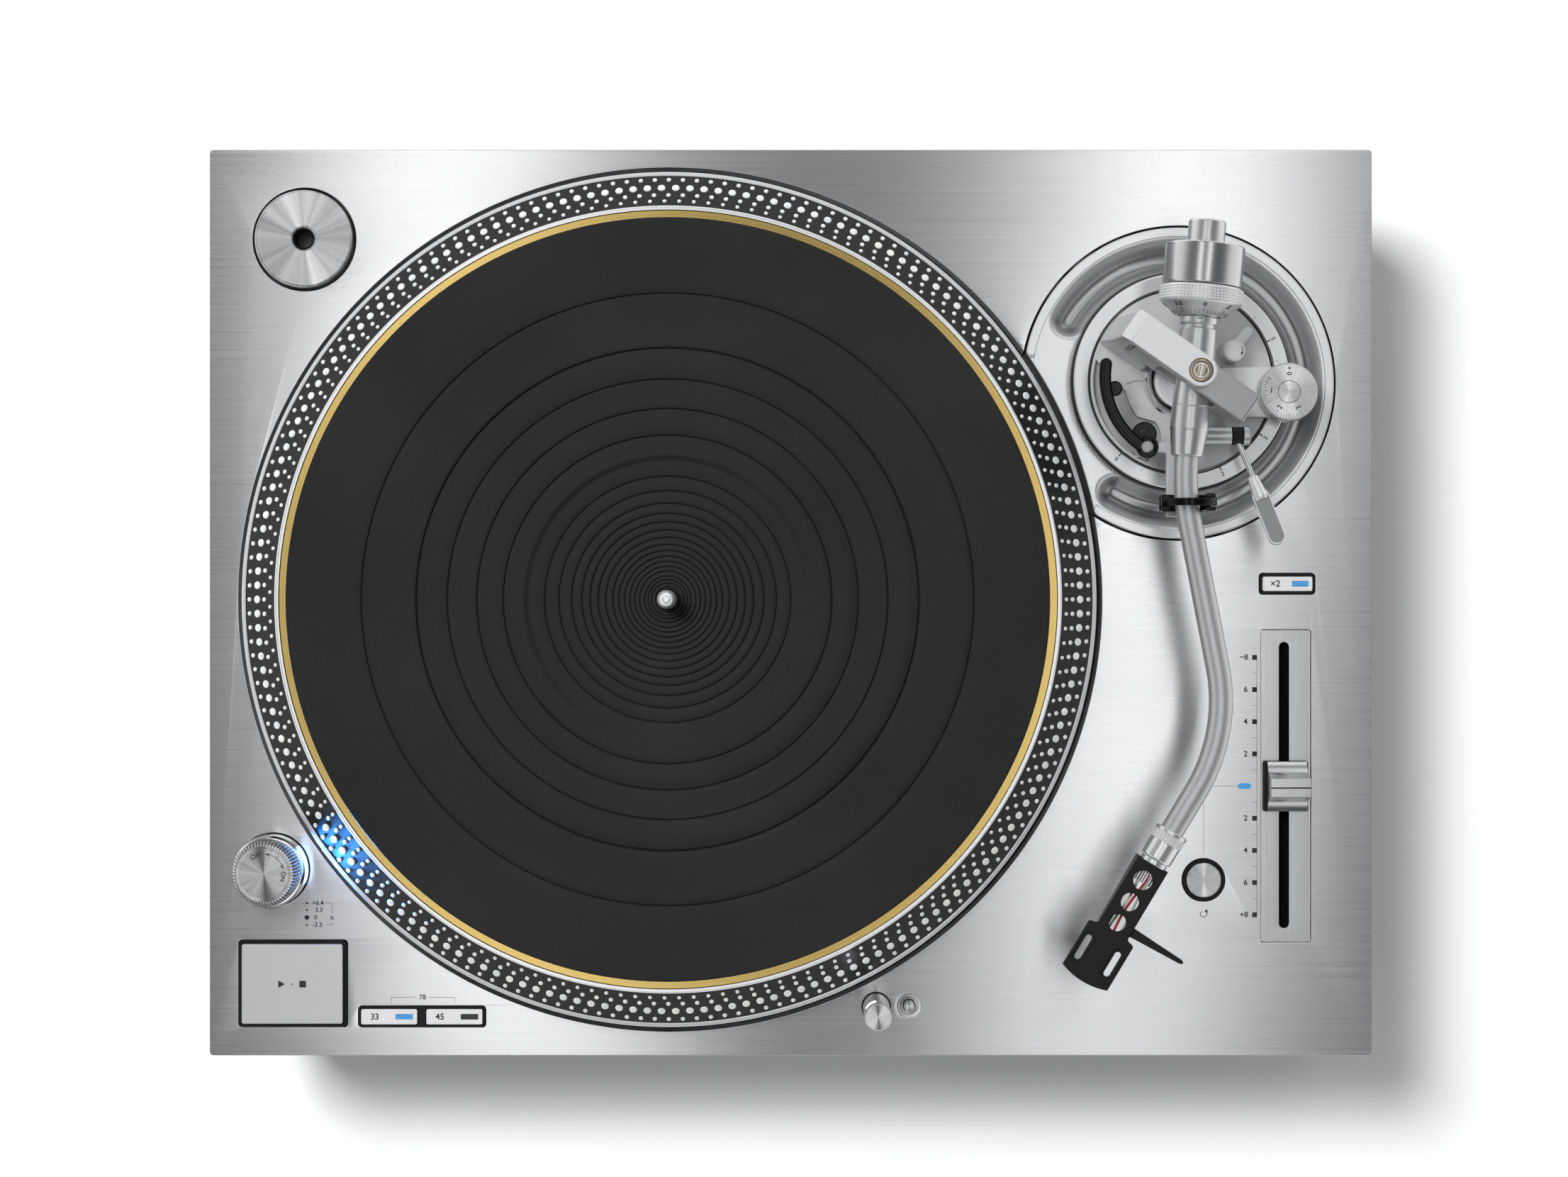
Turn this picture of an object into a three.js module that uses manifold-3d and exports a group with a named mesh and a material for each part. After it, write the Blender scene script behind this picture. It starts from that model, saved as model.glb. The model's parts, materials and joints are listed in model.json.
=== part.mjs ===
// Full-size direct-drive record player with an S-shaped tonearm.
// Millimetres, +Z up. The origin lies on the floor, under the middle of the chassis; +X is the tonearm side
// and -Y is the front. Heights in the sub-assemblies count from the upper face of the top plate.

import * as THREE from 'three';
import { mergeVertices } from 'three/addons/utils/BufferGeometryUtils.js';
import Module from 'manifold-3d';

const wasm = await Module();
wasm.setup();

// ---------- Driving dimensions ----------

const GAP = 0.3; // left between pieces that touch

const CHASSIS_WIDTH = 453;
const CHASSIS_DEPTH = 353;
const CORNER_RADIUS = 3;
const DECK_HEIGHT = 104; // upper face of the top plate above the floor
const PLATE_THICKNESS = 10;
const CASTING_DEPTH = 36;
const TRAY_DEPTH = 24;
const WELL_FLOOR = -20; // floor of the platter well

const SPINDLE = { x: -47, y: 1.2 };
const PIVOT = { x: 151, y: 85.5 }; // 215 mm from the spindle
const PLATTER_HOLE_RADIUS = 168.3;
const PLATTER_RADIUS = 165.1;
const BRASS_RADIUS = 149.2;
const MAT_RADIUS = 146.2;
const SPINDLE_RADIUS = 3.6;
const SPINDLE_BORE = 4;

const FLANGE_RADIUS = 60.6;
const FLANGE_HOLE_RADIUS = 61.4;
const ARM_AXIS_HEIGHT = 43;
const ARM_HEADING = -5.1; // degrees from straight forward; minus is towards the platter
const MIDDLE_HEADING = 10.9;
const HEAD_HEADING = -31;
const GIMBAL_ANGLE = -35; // direction of the tilt axis

const FOOT = { x: 176, y: 131.5, radius: 31 };
const STROBE_TOWER = { x: -201.7, y: -103.9, radius: 14 };
const START_STOP = { x: -194, y: -148.4, width: 42, depth: 33.4 };
const SPEED_PANEL = { x: -143.7, y: -161.3, width: 49.1, depth: 7.8 };
const PITCH_RANGE_PANEL = { x: 193.5, y: 7.3, width: 21.3, depth: 7.8 };
const RESET = { x: 160.9, y: -108.1, radius: 8.1 };
const STYLUS_LAMP = { x: 33.3, y: -157.4, radius: 5.14, height: 29 };
const LAMP_BUTTON = { x: 46.2, y: -157.3, radius: 2.1 };
const FADER = { x: 193.1, y: -71.5, width: 19.4, length: 121.8, slotWidth: 3.9, slotLength: 111.6 };
const ADAPTOR = { x: -189.6, y: 141.5, radius: 19, recessDepth: 6 };
const INLET_X = -150;
const TERMINAL_X = 150;

// Facets round a circle, by its size
const SIDES = { platter: 48, ring: 24, round: 16, small: 12 };

// ---------- Finishes ----------

const finish = (color, roughness, metalness) => new THREE.MeshStandardMaterial({ color, roughness, metalness });
const brushed = () => finish(0xc9cbcd, 0.35, 1);
const satin = () => finish(0xbfc1c3, 0.45, 0.9);
const cast = () => finish(0xb4b6b8, 0.55, 0.8);
const black = () => finish(0x101112, 0.5, 0);
const brass = () => finish(0xb79a4a, 0.4, 1);
const rubber = () => finish(0x1c1c1e, 0.85, 0);

// ---------- Outlines, all counter-clockwise ----------

const radians = THREE.MathUtils.degToRad;
const polar = (radius, degrees, x = 0, y = 0) => new THREE.Vector2(
  x + radius * Math.cos(radians(degrees)), y + radius * Math.sin(radians(degrees)));

// Points along an arc, both ends included; angles in degrees
const arc = (radius, from, to, steps, x = 0, y = 0) => Array.from({ length: steps + 1 },
  (_, i) => polar(radius, from + (to - from) * i / steps, x, y));

const disc = (radius, x = 0, y = 0, sides = SIDES.round) => arc(radius, 0, 360 - 360 / sides, sides - 1, x, y);

const roundedBox = (width, depth, radius, x = 0, y = 0, steps = 2) => [
  [1, 1, 0], [-1, 1, 90], [-1, -1, 180], [1, -1, 270],
].flatMap(([sx, sy, start]) => arc(radius, start, start + 90, steps,
  x + sx * (width / 2 - radius), y + sy * (depth / 2 - radius)));

// Outline with round ends, lying along Y
const stadium = (width, length, x = 0, y = 0, steps = 4) => [
  ...arc(width / 2, 0, 180, steps, x, y + (length - width) / 2),
  ...arc(width / 2, 180, 360, steps, x, y - (length - width) / 2),
];

// Ring band between two radii, from one angle to another
const band = (inner, outer, from, to, steps) => [
  ...arc(outer, from, to, steps), ...arc(inner, to, from, steps),
];

// Knurled outline: a ring of pointed teeth
const toothed = (tip, root, teeth) => Array.from({ length: 2 * teeth },
  (_, i) => polar(i % 2 ? root : tip, 180 * i / teeth));

// ---------- Solids ----------

const outward = (geometry) => {
  const p = geometry.attributes.position;
  const index = geometry.index.array;
  const [a, b, c] = [new THREE.Vector3(), new THREE.Vector3(), new THREE.Vector3()];
  let volume = 0;
  for (let i = 0; i < index.length; i += 3) {
    a.fromBufferAttribute(p, index[i]);
    b.fromBufferAttribute(p, index[i + 1]);
    c.fromBufferAttribute(p, index[i + 2]);
    volume += a.dot(b.cross(c));
  }
  if (volume < 0) index.reverse();
  return geometry;
};

// Closed mesh with shared corners and no collapsed triangles
const welded = (geometry) => {
  const bare = geometry.clone();
  bare.deleteAttribute('normal');
  bare.deleteAttribute('uv');
  const merged = mergeVertices(bare, 1e-4);
  const kept = [];
  const index = merged.index.array;
  for (let i = 0; i < index.length; i += 3) {
    const [a, b, c] = index.slice(i, i + 3);
    if (a !== b && b !== c && c !== a) kept.push(a, b, c);
  }
  merged.setIndex(kept);
  merged.clearGroups();
  return outward(merged);
};

const solid = (geometry) => {
  const shape = welded(geometry);
  return new wasm.Manifold(new wasm.Mesh({
    numProp: 3,
    vertProperties: new Float32Array(shape.attributes.position.array),
    triVerts: new Uint32Array(shape.index.array),
  }));
};

const surface = (body) => {
  const mesh = body.getMesh();
  const geometry = new THREE.BufferGeometry();
  geometry.setAttribute('position', new THREE.BufferAttribute(mesh.vertProperties, 3));
  geometry.setIndex(new THREE.BufferAttribute(mesh.triVerts, 1));
  geometry.computeVertexNormals();
  return geometry;
};

const cut = (base, ...tools) => surface(tools.reduce((body, tool) => body.subtract(solid(tool)), solid(base)));
const join = (...pieces) => surface(pieces.slice(1).reduce((body, piece) => body.add(solid(piece)), solid(pieces[0])));
const common = (first, second) => surface(solid(first).intersect(solid(second)));

// Upright prism between two heights, with an optional chamfer on both faces
const prism = (outline, bottom, top, { holes = [], chamfer = 0 } = {}) => {
  const shape = new THREE.Shape(outline);
  shape.holes = holes.map((hole) => new THREE.Path(hole));
  return new THREE.ExtrudeGeometry(shape, {
    depth: top - bottom - 2 * chamfer,
    bevelEnabled: chamfer > 0,
    bevelThickness: chamfer,
    bevelSize: chamfer,
    bevelOffset: -chamfer,
    bevelSegments: 1,
  }).translate(0, 0, bottom + chamfer);
};

const block = (x0, x1, y0, y1, z0, z1) => new THREE.BoxGeometry(x1 - x0, y1 - y0, z1 - z0)
  .translate((x0 + x1) / 2, (y0 + y1) / 2, (z0 + z1) / 2);

// Solid of revolution about Z from [radius, height] points; it closes on itself unless it meets the axis twice
const turned = (profile, sides = SIDES.round) => {
  const points = profile.map(([r, z]) => new THREE.Vector2(r, z));
  const onAxis = profile[0][0] === 0 && profile.at(-1)[0] === 0;
  if (!onAxis) points.push(points[0].clone());
  return new THREE.LatheGeometry(points, sides).rotateX(Math.PI / 2);
};

// The same, about the line that runs forward along -Y: points are [radius, distance forward]
const turnedForward = (profile, sides) => turned(profile, sides).rotateX(Math.PI / 2);

// ---------- Scene graph ----------

const player = new THREE.Group();
const group = (parent, x, y, z, turn = 0) => {
  const node = new THREE.Group();
  node.position.set(x, y, z);
  node.rotation.z = radians(turn);
  parent.add(node);
  return node;
};
const add = (parent, name, geometry, material, x = 0, y = 0, z = 0) => {
  const mesh = new THREE.Mesh(geometry, material);
  mesh.name = name;
  mesh.position.set(x, y, z);
  parent.add(mesh);
  return mesh;
};

const deck = group(player, 0, 0, DECK_HEIGHT);

// ---------- Chassis ----------

const castingTop = -PLATE_THICKNESS - GAP;
const castingBottom = castingTop - CASTING_DEPTH;
const trayTop = castingBottom - GAP;
const trayBottom = trayTop - TRAY_DEPTH;
const roof = WELL_FLOOR - 4.3; // underside of the casting's deck
const trayFloor = trayBottom + 8;

{
  const clearance = 2 * GAP;
  const holes = [
    roundedBox(START_STOP.width + clearance, START_STOP.depth + clearance, 1.8, START_STOP.x, START_STOP.y),
    roundedBox(SPEED_PANEL.width + clearance, SPEED_PANEL.depth + clearance, 1.3, SPEED_PANEL.x, SPEED_PANEL.y),
    roundedBox(PITCH_RANGE_PANEL.width + clearance, PITCH_RANGE_PANEL.depth + clearance, 1.3,
      PITCH_RANGE_PANEL.x, PITCH_RANGE_PANEL.y),
    roundedBox(FADER.width + clearance, FADER.length + clearance, 1.2, FADER.x, FADER.y),
    disc(RESET.radius + GAP, RESET.x, RESET.y),
    disc(STYLUS_LAMP.radius + 0.5, STYLUS_LAMP.x, STYLUS_LAMP.y, SIDES.small),
    disc(LAMP_BUTTON.radius + 0.5, LAMP_BUTTON.x, LAMP_BUTTON.y, SIDES.small),
    disc(STROBE_TOWER.radius + GAP, STROBE_TOWER.x, STROBE_TOWER.y),
  ];
  const countersink = turned([[0, -3.2], [LAMP_BUTTON.radius + 0.5, -3.2], [4.7, 0], [4.7, 1], [0, 1]], SIDES.small)
    .translate(LAMP_BUTTON.x, LAMP_BUTTON.y, 0);
  add(deck, 'top_plate', cut(
    prism(roundedBox(CHASSIS_WIDTH, CHASSIS_DEPTH, CORNER_RADIUS, 0, 0, 3), -PLATE_THICKNESS, 0, { holes }),
    prism(disc(PLATTER_HOLE_RADIUS, SPINDLE.x, SPINDLE.y, SIDES.platter), -PLATE_THICKNESS - 1, 1),
    prism(disc(FLANGE_HOLE_RADIUS, PIVOT.x, PIVOT.y, SIDES.ring), -PLATE_THICKNESS - 1, 1),
    prism(disc(ADAPTOR.radius + 1.15, ADAPTOR.x, ADAPTOR.y), -ADAPTOR.recessDepth, 1),
    countersink,
  ), brushed());
}

{
  const wall = 7;
  const postRadius = 9;
  const corners = [[1, 1], [-1, 1], [-1, -1], [1, -1]].map(([sx, sy]) => [sx * FOOT.x, sy * FOOT.y]);
  const shell = cut(
    prism(roundedBox(CHASSIS_WIDTH - 1, CHASSIS_DEPTH - 1, 2.5), castingBottom, castingTop),
    prism(roundedBox(CHASSIS_WIDTH - 2 * wall, CHASSIS_DEPTH - 2 * wall, 6), castingBottom - 1, roof),
    prism(disc(PLATTER_HOLE_RADIUS + 0.4, SPINDLE.x, SPINDLE.y, SIDES.platter), WELL_FLOOR, 0),
    prism(disc(FLANGE_HOLE_RADIUS, PIVOT.x, PIVOT.y, SIDES.ring), WELL_FLOOR, 0),
    prism(disc(77, SPINDLE.x, SPINDLE.y, SIDES.ring), roof - 1, 0),
    prism(disc(32, PIVOT.x, PIVOT.y), roof - 1, 0),
    prism(disc(6.2, STYLUS_LAMP.x, STYLUS_LAMP.y, SIDES.small), roof - 1, 0),
    prism(roundedBox(14.4, 118, 1, FADER.x, FADER.y), roof - 1, 0),
    block(INLET_X - 14, INLET_X + 14, 160, 180, castingBottom + 2, roof - 1),
    block(TERMINAL_X - 31, TERMINAL_X + 31, 160, 180, castingBottom + 2, roof - 1),
  );
  // screw posts over the feet
  const posts = corners.map(([x, y]) => prism(disc(postRadius, x, y, SIDES.small), castingBottom, roof + 1));
  add(deck, 'chassis_casting', join(shell, ...posts), cast());

  add(deck, 'base_tray', cut(
    prism(roundedBox(CHASSIS_WIDTH - 7, CHASSIS_DEPTH - 7, 7), trayBottom, trayTop, { chamfer: 2.5 }),
    prism(roundedBox(CHASSIS_WIDTH - 25, CHASSIS_DEPTH - 25, 4), trayFloor, 0),
    ...corners.map(([x, y]) => prism(disc(5.6, x, y, SIDES.small), trayBottom - 1, trayFloor + 1)),
  ), rubber());

  // A foot: rubber sole, metal cup and the screwed stud that sets the height
  const footProfile = [
    [0, 0], [28, 0], [28, 6], [FOOT.radius, 8], [FOOT.radius, 29],
    [FOOT.radius - 1.6, 30.8], [5, 30.8], [5, 43.5], [0, 43.5],
  ];
  const names = ['foot_rear_right', 'foot_rear_left', 'foot_front_left', 'foot_front_right'];
  corners.forEach(([x, y], i) => add(player, names[i], turned(footProfile, 16), cast(), x, y));
}

// ---------- Motor, power supply and electronics ----------

const motor = group(deck, SPINDLE.x, SPINDLE.y, 0);
{
  const coilCount = 9;
  const coilOrbit = 46;
  const board = prism(disc(86, 0, 0, SIDES.ring), roof - 3.3, roof - GAP, { holes: [disc(14.4, 0, 0, SIDES.small)] });
  const coils = Array.from({ length: coilCount }, (_, i) => {
    const at = polar(coilOrbit, 360 * i / coilCount);
    return prism(disc(13, at.x, at.y, 10), roof - 1, WELL_FLOOR + 1.6);
  });
  add(motor, 'motor_stator', join(board, ...coils), finish(0x8a4a22, 0.5, 0.4));

  const underBoard = roof - 3.3 - GAP;
  add(motor, 'bearing_housing', turned([
    [0, -50], [13.5, -50], [13.5, underBoard - 3], [24, underBoard - 3], [24, underBoard], [13.5, underBoard],
    [13.5, -16.5], [SPINDLE_BORE, -16.5], [SPINDLE_BORE, -46], [0, -46],
  ], SIDES.small), finish(0x9a9da0, 0.4, 1));
}

{
  const floor = trayFloor + GAP;
  add(deck, 'power_supply', join(
    prism(roundedBox(104, 74, 3), floor, floor + 2),
    prism(roundedBox(60, 50, 4, -14, 4), floor + 1, floor + 26),
    prism(disc(13, 33, 16, SIDES.small), floor + 1, floor + 24),
    prism(disc(9, 35, -18, SIDES.small), floor + 1, floor + 20),
  ), finish(0x2f5d3a, 0.6, 0.1), -108, 108);
  add(deck, 'control_board', join(
    prism(roundedBox(150, 66, 2), floor, floor + 1.8),
    prism(roundedBox(24, 24, 1, -30, 5), floor + 1, floor + 4.5),
    prism(roundedBox(36, 12, 1, 24, -12), floor + 1, floor + 9),
    prism(roundedBox(14, 30, 1, 56, 8), floor + 1, floor + 11),
  ), finish(0x2f5d3a, 0.6, 0.1), 78, -128);
}

{
  const back = CHASSIS_DEPTH / 2 - 0.8;
  const inletFloor = castingBottom + 2.6;
  const inletTop = roof - 1.6;
  const middle = (inletFloor + inletTop) / 2;
  const socket = cut(block(-13.4, 13.4, back - 24, back, inletFloor, inletTop),
    block(-11.8, 11.8, back - 17, back + 1, inletFloor + 1.8, inletTop - 1.8));
  const pin = (x, z) => block(x - 2, x + 2, back - 18, back - 6, z - 0.8, z + 0.8);
  add(deck, 'mains_inlet', join(socket, pin(-7, middle + 1.5), pin(7, middle + 1.5), pin(0, middle - 3)),
    black(), INLET_X);

  const panelFace = 166;
  const jack = (x) => turned([[1.7, 0], [4.2, 0], [4.2, 9], [1.7, 9]], 10)
    .rotateX(-Math.PI / 2).translate(x, panelFace - 0.5, middle);
  const groundPost = turned([[0, 0], [2, 0], [2, 2], [4, 2], [4, 6], [2, 6], [2, 9], [0, 9]], 8)
    .rotateX(-Math.PI / 2).translate(22, panelFace - 0.5, middle);
  const bores = [-16, 2].map((x) => turned([[0, -4], [1.7, -4], [1.7, 10], [0, 10]], 10)
    .rotateX(-Math.PI / 2).translate(x, panelFace, middle));
  add(deck, 'terminal_panel', cut(join(
    block(-30.4, 30.4, panelFace - 5, panelFace, inletFloor, inletTop), jack(-16), jack(2), groundPost,
  ), ...bores), finish(0xb79a4a, 0.35, 1), TERMINAL_X);
}

// ---------- Buttons on the deck ----------

const buttonBase = -PLATE_THICKNESS + 1.9;
const frameBase = -PLATE_THICKNESS;

// Frame with a rim just above the plate, and the openings that its buttons move in
const buttonFrame = (panel, rise, openings) => prism(roundedBox(panel.width, panel.depth, 1.5),
  frameBase, rise, { holes: openings });

const key = (width, depth, top) => prism(roundedBox(width, depth, 0.9), buttonBase, top, { chamfer: 0.35 });

add(deck, 'start_stop_frame', buttonFrame(START_STOP, 0.6, [roundedBox(40, 31.7, 1.1)]), black(),
  START_STOP.x, START_STOP.y);
add(deck, 'start_stop_button', key(39.3, 31, 2), satin(), START_STOP.x, START_STOP.y);

{
  const keyOffset = 12.7;
  add(deck, 'speed_frame', buttonFrame(SPEED_PANEL, 0.4,
    [-1, 1].map((side) => roundedBox(22.5, 6.6, 1, side * keyOffset))), black(), SPEED_PANEL.x, SPEED_PANEL.y);
  add(deck, 'speed_33_button', key(21.9, 6, 1), satin(), SPEED_PANEL.x - keyOffset, SPEED_PANEL.y);
  add(deck, 'speed_45_button', key(21.9, 6, 1), satin(), SPEED_PANEL.x + keyOffset, SPEED_PANEL.y);
}

add(deck, 'pitch_range_frame', buttonFrame(PITCH_RANGE_PANEL, 0.4, [roundedBox(20, 6.3, 1)]), black(),
  PITCH_RANGE_PANEL.x, PITCH_RANGE_PANEL.y);
add(deck, 'pitch_range_button', key(19.4, 5.7, 1), satin(), PITCH_RANGE_PANEL.x, PITCH_RANGE_PANEL.y);

add(deck, 'reset_ring', turned([[7.1, frameBase], [RESET.radius, frameBase], [RESET.radius, 0.5], [7.1, 0.5]]),
  black(), RESET.x, RESET.y);
add(deck, 'reset_button', turned([[0, buttonBase], [6.8, buttonBase], [6.8, 0.5], [6.3, 1], [0, 0.7]]),
  satin(), RESET.x, RESET.y);

// ---------- Stylus lamp: a tube that pops up, with its light window facing the platter ----------

{
  const { x, y, radius, height } = STYLUS_LAMP;
  const post = turned([[0, -16], [radius, -16], [radius, height - 0.8], [radius - 0.8, height], [0, height]], 16);
  const window = block(-2.6, 2.6, 2.6, 6, height - 9, height - 5);
  const lamp = add(deck, 'stylus_lamp', cut(post, window), satin(), x, y);
  lamp.rotation.z = radians(35);
  add(deck, 'lamp_button', turned([[0, -9], [LAMP_BUTTON.radius, -9], [LAMP_BUTTON.radius, 0], [1.6, 0.5], [0, 0.5]],
    10), satin(), LAMP_BUTTON.x, LAMP_BUTTON.y);
}

// ---------- Strobe tower and power knob ----------

{
  const { x, y, radius } = STROBE_TOWER;
  const windowFrom = -21;
  const windowTo = 42;
  const knobBase = 11.4;
  const recess = prism(band(radius - 3, radius + 2, windowFrom, windowTo, 5), 1.5, 9.5);
  add(deck, 'strobe_tower', cut(turned([
    [0, frameBase], [radius, frameBase], [radius, 9.8], [radius - 1.2, knobBase - GAP], [0, knobBase - GAP],
  ]), recess), satin(), x, y);
  add(deck, 'strobe_window', prism(band(radius - 2.6, radius - 0.2, windowFrom + 1.6, windowTo - 1.6, 5), 1.9, 9.1),
    finish(0xdfefff, 0.2, 0), x, y);
  add(deck, 'power_knob', join(
    prism(toothed(12.8, 12.1, 36), knobBase, 19),
    turned([[0, 18], [12, 18], [12, 19.2], [10.8, 20], [0, 20]]),
  ), satin(), x, y);
}

// ---------- Pitch fader ----------

{
  const { x, y, width, length, slotWidth, slotLength } = FADER;
  const face = -1.4;
  const slot = stadium(slotWidth, slotLength, -0.6, 0.3);
  add(deck, 'fader_plate', prism(roundedBox(width, length, 1), -4.6, face, { holes: [slot] }), brushed(), x, y);
  add(deck, 'fader_unit', cut(
    prism(roundedBox(13, 116, 1), -23.9, -5),
    block(-3.6, 2.4, -56, 56, -20, -4),
  ), finish(0x3a3c3e, 0.5, 0.6), x, y);

  // Knob: finger ramps run up from both ends to the pointer block, on a stem through the slot
  const knobWidth = 15.4;
  const foot = face + 0.6;
  const ramp = (side) => Array.from({ length: 6 }, (_, i) => {
    const t = i / 5;
    return new THREE.Vector2(side * (9.6 - 5.6 * t), 2.6 + 7 * (1 - Math.sqrt(1 - t * t)) * 0.9 + 0.8 * t);
  });
  const sideView = [
    new THREE.Vector2(-9.8, foot), new THREE.Vector2(9.8, foot), ...ramp(1),
    new THREE.Vector2(3.6, 11.6), new THREE.Vector2(-3.6, 11.6), ...ramp(-1).reverse(),
  ];
  const grip = prism(sideView, -knobWidth / 2, knobWidth / 2).rotateX(Math.PI / 2).rotateZ(Math.PI / 2);
  const stem = block(-1.5, 0.3, -4.5, 4.5, -17, foot + 1);
  add(deck, 'pitch_knob', join(grip, stem), satin(), x, y);
}

// ---------- 45 rpm adaptor ----------

{
  const floor = -ADAPTOR.recessDepth + GAP;
  add(deck, 'adaptor_45', turned([
    [SPINDLE_BORE, floor], [ADAPTOR.radius, floor], [ADAPTOR.radius, 2.4],
    [ADAPTOR.radius - 0.6, 3], [5.4, 3], [SPINDLE_BORE, 1.6],
  ]), brushed(), ADAPTOR.x, ADAPTOR.y);
}

// ---------- Platter ----------

const platter = group(deck, SPINDLE.x, SPINDLE.y, 0);
{
  add(platter, 'platter', turned([
    [SPINDLE_BORE, -15], [16, -15], [16, 6], [140, 6], [147, -6], [PLATTER_RADIUS, -6], [PLATTER_RADIUS, 9],
    [163.6, 9.7], [150.7, 18.4], [BRASS_RADIUS + GAP, 18.4], [BRASS_RADIUS + GAP, 15.8],
    [SPINDLE_BORE, 15.8],
  ], SIDES.platter), finish(0x202124, 0.4, 0.6));
  add(platter, 'brass_plate', turned([[SPINDLE_BORE, 16.1], [BRASS_RADIUS, 16.1], [BRASS_RADIUS, 18.1],
    [SPINDLE_BORE, 18.1]], SIDES.platter), brass());
  add(platter, 'platter_mat', turned([
    [SPINDLE_BORE, 18.4], [MAT_RADIUS, 18.4], [MAT_RADIUS, 20.6], [MAT_RADIUS - 0.8, 21.4], [55.2, 21.4],
    [54, 20.6], [SPINDLE_BORE, 20.6],
  ], SIDES.platter), rubber());
  add(platter, 'spindle', turned([
    [0, -45.6], [SPINDLE_RADIUS, -44.6], [SPINDLE_RADIUS, 33], [3.2, 35.2], [2.1, 37], [0, 37.6],
  ], 12), brushed());
  add(platter, 'rotor_magnet', turned([
    [34, -17], [63, -17], [63, 5.7], [58, 5.7], [58, -11], [34, -11],
  ]), finish(0x4a4c50, 0.5, 0.7));
}

// ---------- Tonearm base ----------

const armBase = group(deck, PIVOT.x, PIVOT.y, 0);
const BASE_TOP = 9; // face of the arm base plate

{
  // Flange with a finger channel that runs three quarters of the way round the height ring
  const channelRadius = 49;
  const channelHalf = 7;
  const channelFrom = -120;
  const channelTo = 150;
  const channelFloor = -6;
  const centre = channelFloor + channelHalf;
  const ring = turned(disc(channelHalf, channelRadius, centre, 10).map((p) => [p.x, p.y]), SIDES.ring);
  const sector = prism([new THREE.Vector2(0, 0), ...arc(90, channelFrom, channelTo, 12)], -10, 10);
  const ends = [channelFrom, channelTo].map((angle) => {
    const at = polar(channelRadius, angle);
    return new THREE.SphereGeometry(channelHalf, 10, 10).translate(at.x, at.y, centre);
  });
  const plate = turned([
    [30.5, WELL_FLOOR + GAP], [FLANGE_RADIUS, WELL_FLOOR + GAP], [FLANGE_RADIUS, 0.3], [FLANGE_RADIUS - 0.5, 0.9],
    [57.6, 0.9], [57, 0.3], [30.5, 0.3],
  ], SIDES.ring);
  add(armBase, 'arm_flange', cut(plate,
    join(common(ring, sector), ...ends),
    prism(disc(PLATTER_HOLE_RADIUS + 0.4, SPINDLE.x - PIVOT.x, SPINDLE.y - PIVOT.y, SIDES.platter), -25, 5),
  ), cast());

  add(armBase, 'height_ring', join(
    turned([[35.7, 0.6], [42.4, 0.6], [42.4, 8.6], [41.4, 9.6], [35.7, 9.6]], SIDES.ring),
    prism(toothed(43.2, 42.2, 36), 1.8, 7.6, { holes: [disc(38)] }),
  ), satin());
}

// Places on the arm base plate, from the pivot
const LIFT = { radius: 32, width: 4.5, from: 168, to: 237, bottom: 29.5, top: 33.2 };
const LIFT_BOSS = { radius: 27.6, angle: 231.9 };
const REST_PIN = { radius: 31.1, angle: 238.8 };
const LOCK = { x: 18.5, y: 10.8 };
const SKATE = { x: 38.9, y: -5.2, radius: 11.3 };
const CUE = { y: -21.7, height: 19.8, radius: 3.65, slotFrom: 16.6, slotTo: 22.2 };

{
  const boss = polar(LIFT_BOSS.radius, LIFT_BOSS.angle);
  const well = turned([[10.8, BASE_TOP - 5], [11.8, BASE_TOP - 5], [11.8, 20], [10.8, 20]]);
  const body = turned([
    [0, WELL_FLOOR + 1], [29.8, WELL_FLOOR + 1], [29.8, 0.7], [35.2, 0.7], [35.2, BASE_TOP], [13.9, BASE_TOP],
    [13.2, 11], [9.5, 12], [5, 12], [5, 31], [0, 31],
  ], SIDES.ring);
  add(armBase, 'arm_base', join(cut(body, well,
    prism(band(27.6, 34.2, 163, 249, 10), BASE_TOP - 3, 12),
    prism(disc(6.6, boss.x, boss.y, SIDES.small), BASE_TOP - 3, 12),
    prism(disc(2.1, boss.x, boss.y, 10), -5, 12),
  )), cast());

  // Height lock: a knob with a small wing
  add(armBase, 'lock_lever', join(
    turned([[0, BASE_TOP + GAP], [4.4, BASE_TOP + GAP], [4.4, 21.2], [3.7, 22], [0, 22]], 18),
    prism(stadium(5, 15, 0, 5.5), BASE_TOP + GAP, 11.8).rotateZ(radians(-40)),
  ), satin(), LOCK.x, LOCK.y);

  // Anti-skating arm, which reaches over the height ring to its knob
  const reach = [
    new THREE.Vector2(14.6, 5), new THREE.Vector2(14.6, -14.3), new THREE.Vector2(SKATE.x, -14.3),
    ...arc(9.65, -90, 90, 6, SKATE.x, -4.65), new THREE.Vector2(SKATE.x, 5),
  ];
  add(armBase, 'anti_skating_arm', join(
    prism(reach, 10.2, 16.3),
    block(14.6, 31, -14.3, 5, BASE_TOP + GAP, 10.5),
  ), cast());
  add(armBase, 'anti_skating_knob', join(
    prism(toothed(SKATE.radius, SKATE.radius - 0.5, 30), 16.6, 23.8),
    turned([[0, 23], [10.8, 23], [10.8, 24.4], [9.8, 25.4], [0, 25.4]]),
  ), satin(), SKATE.x, SKATE.y);
}

// ---------- Cueing lever, lift bar, arm rest ----------

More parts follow.
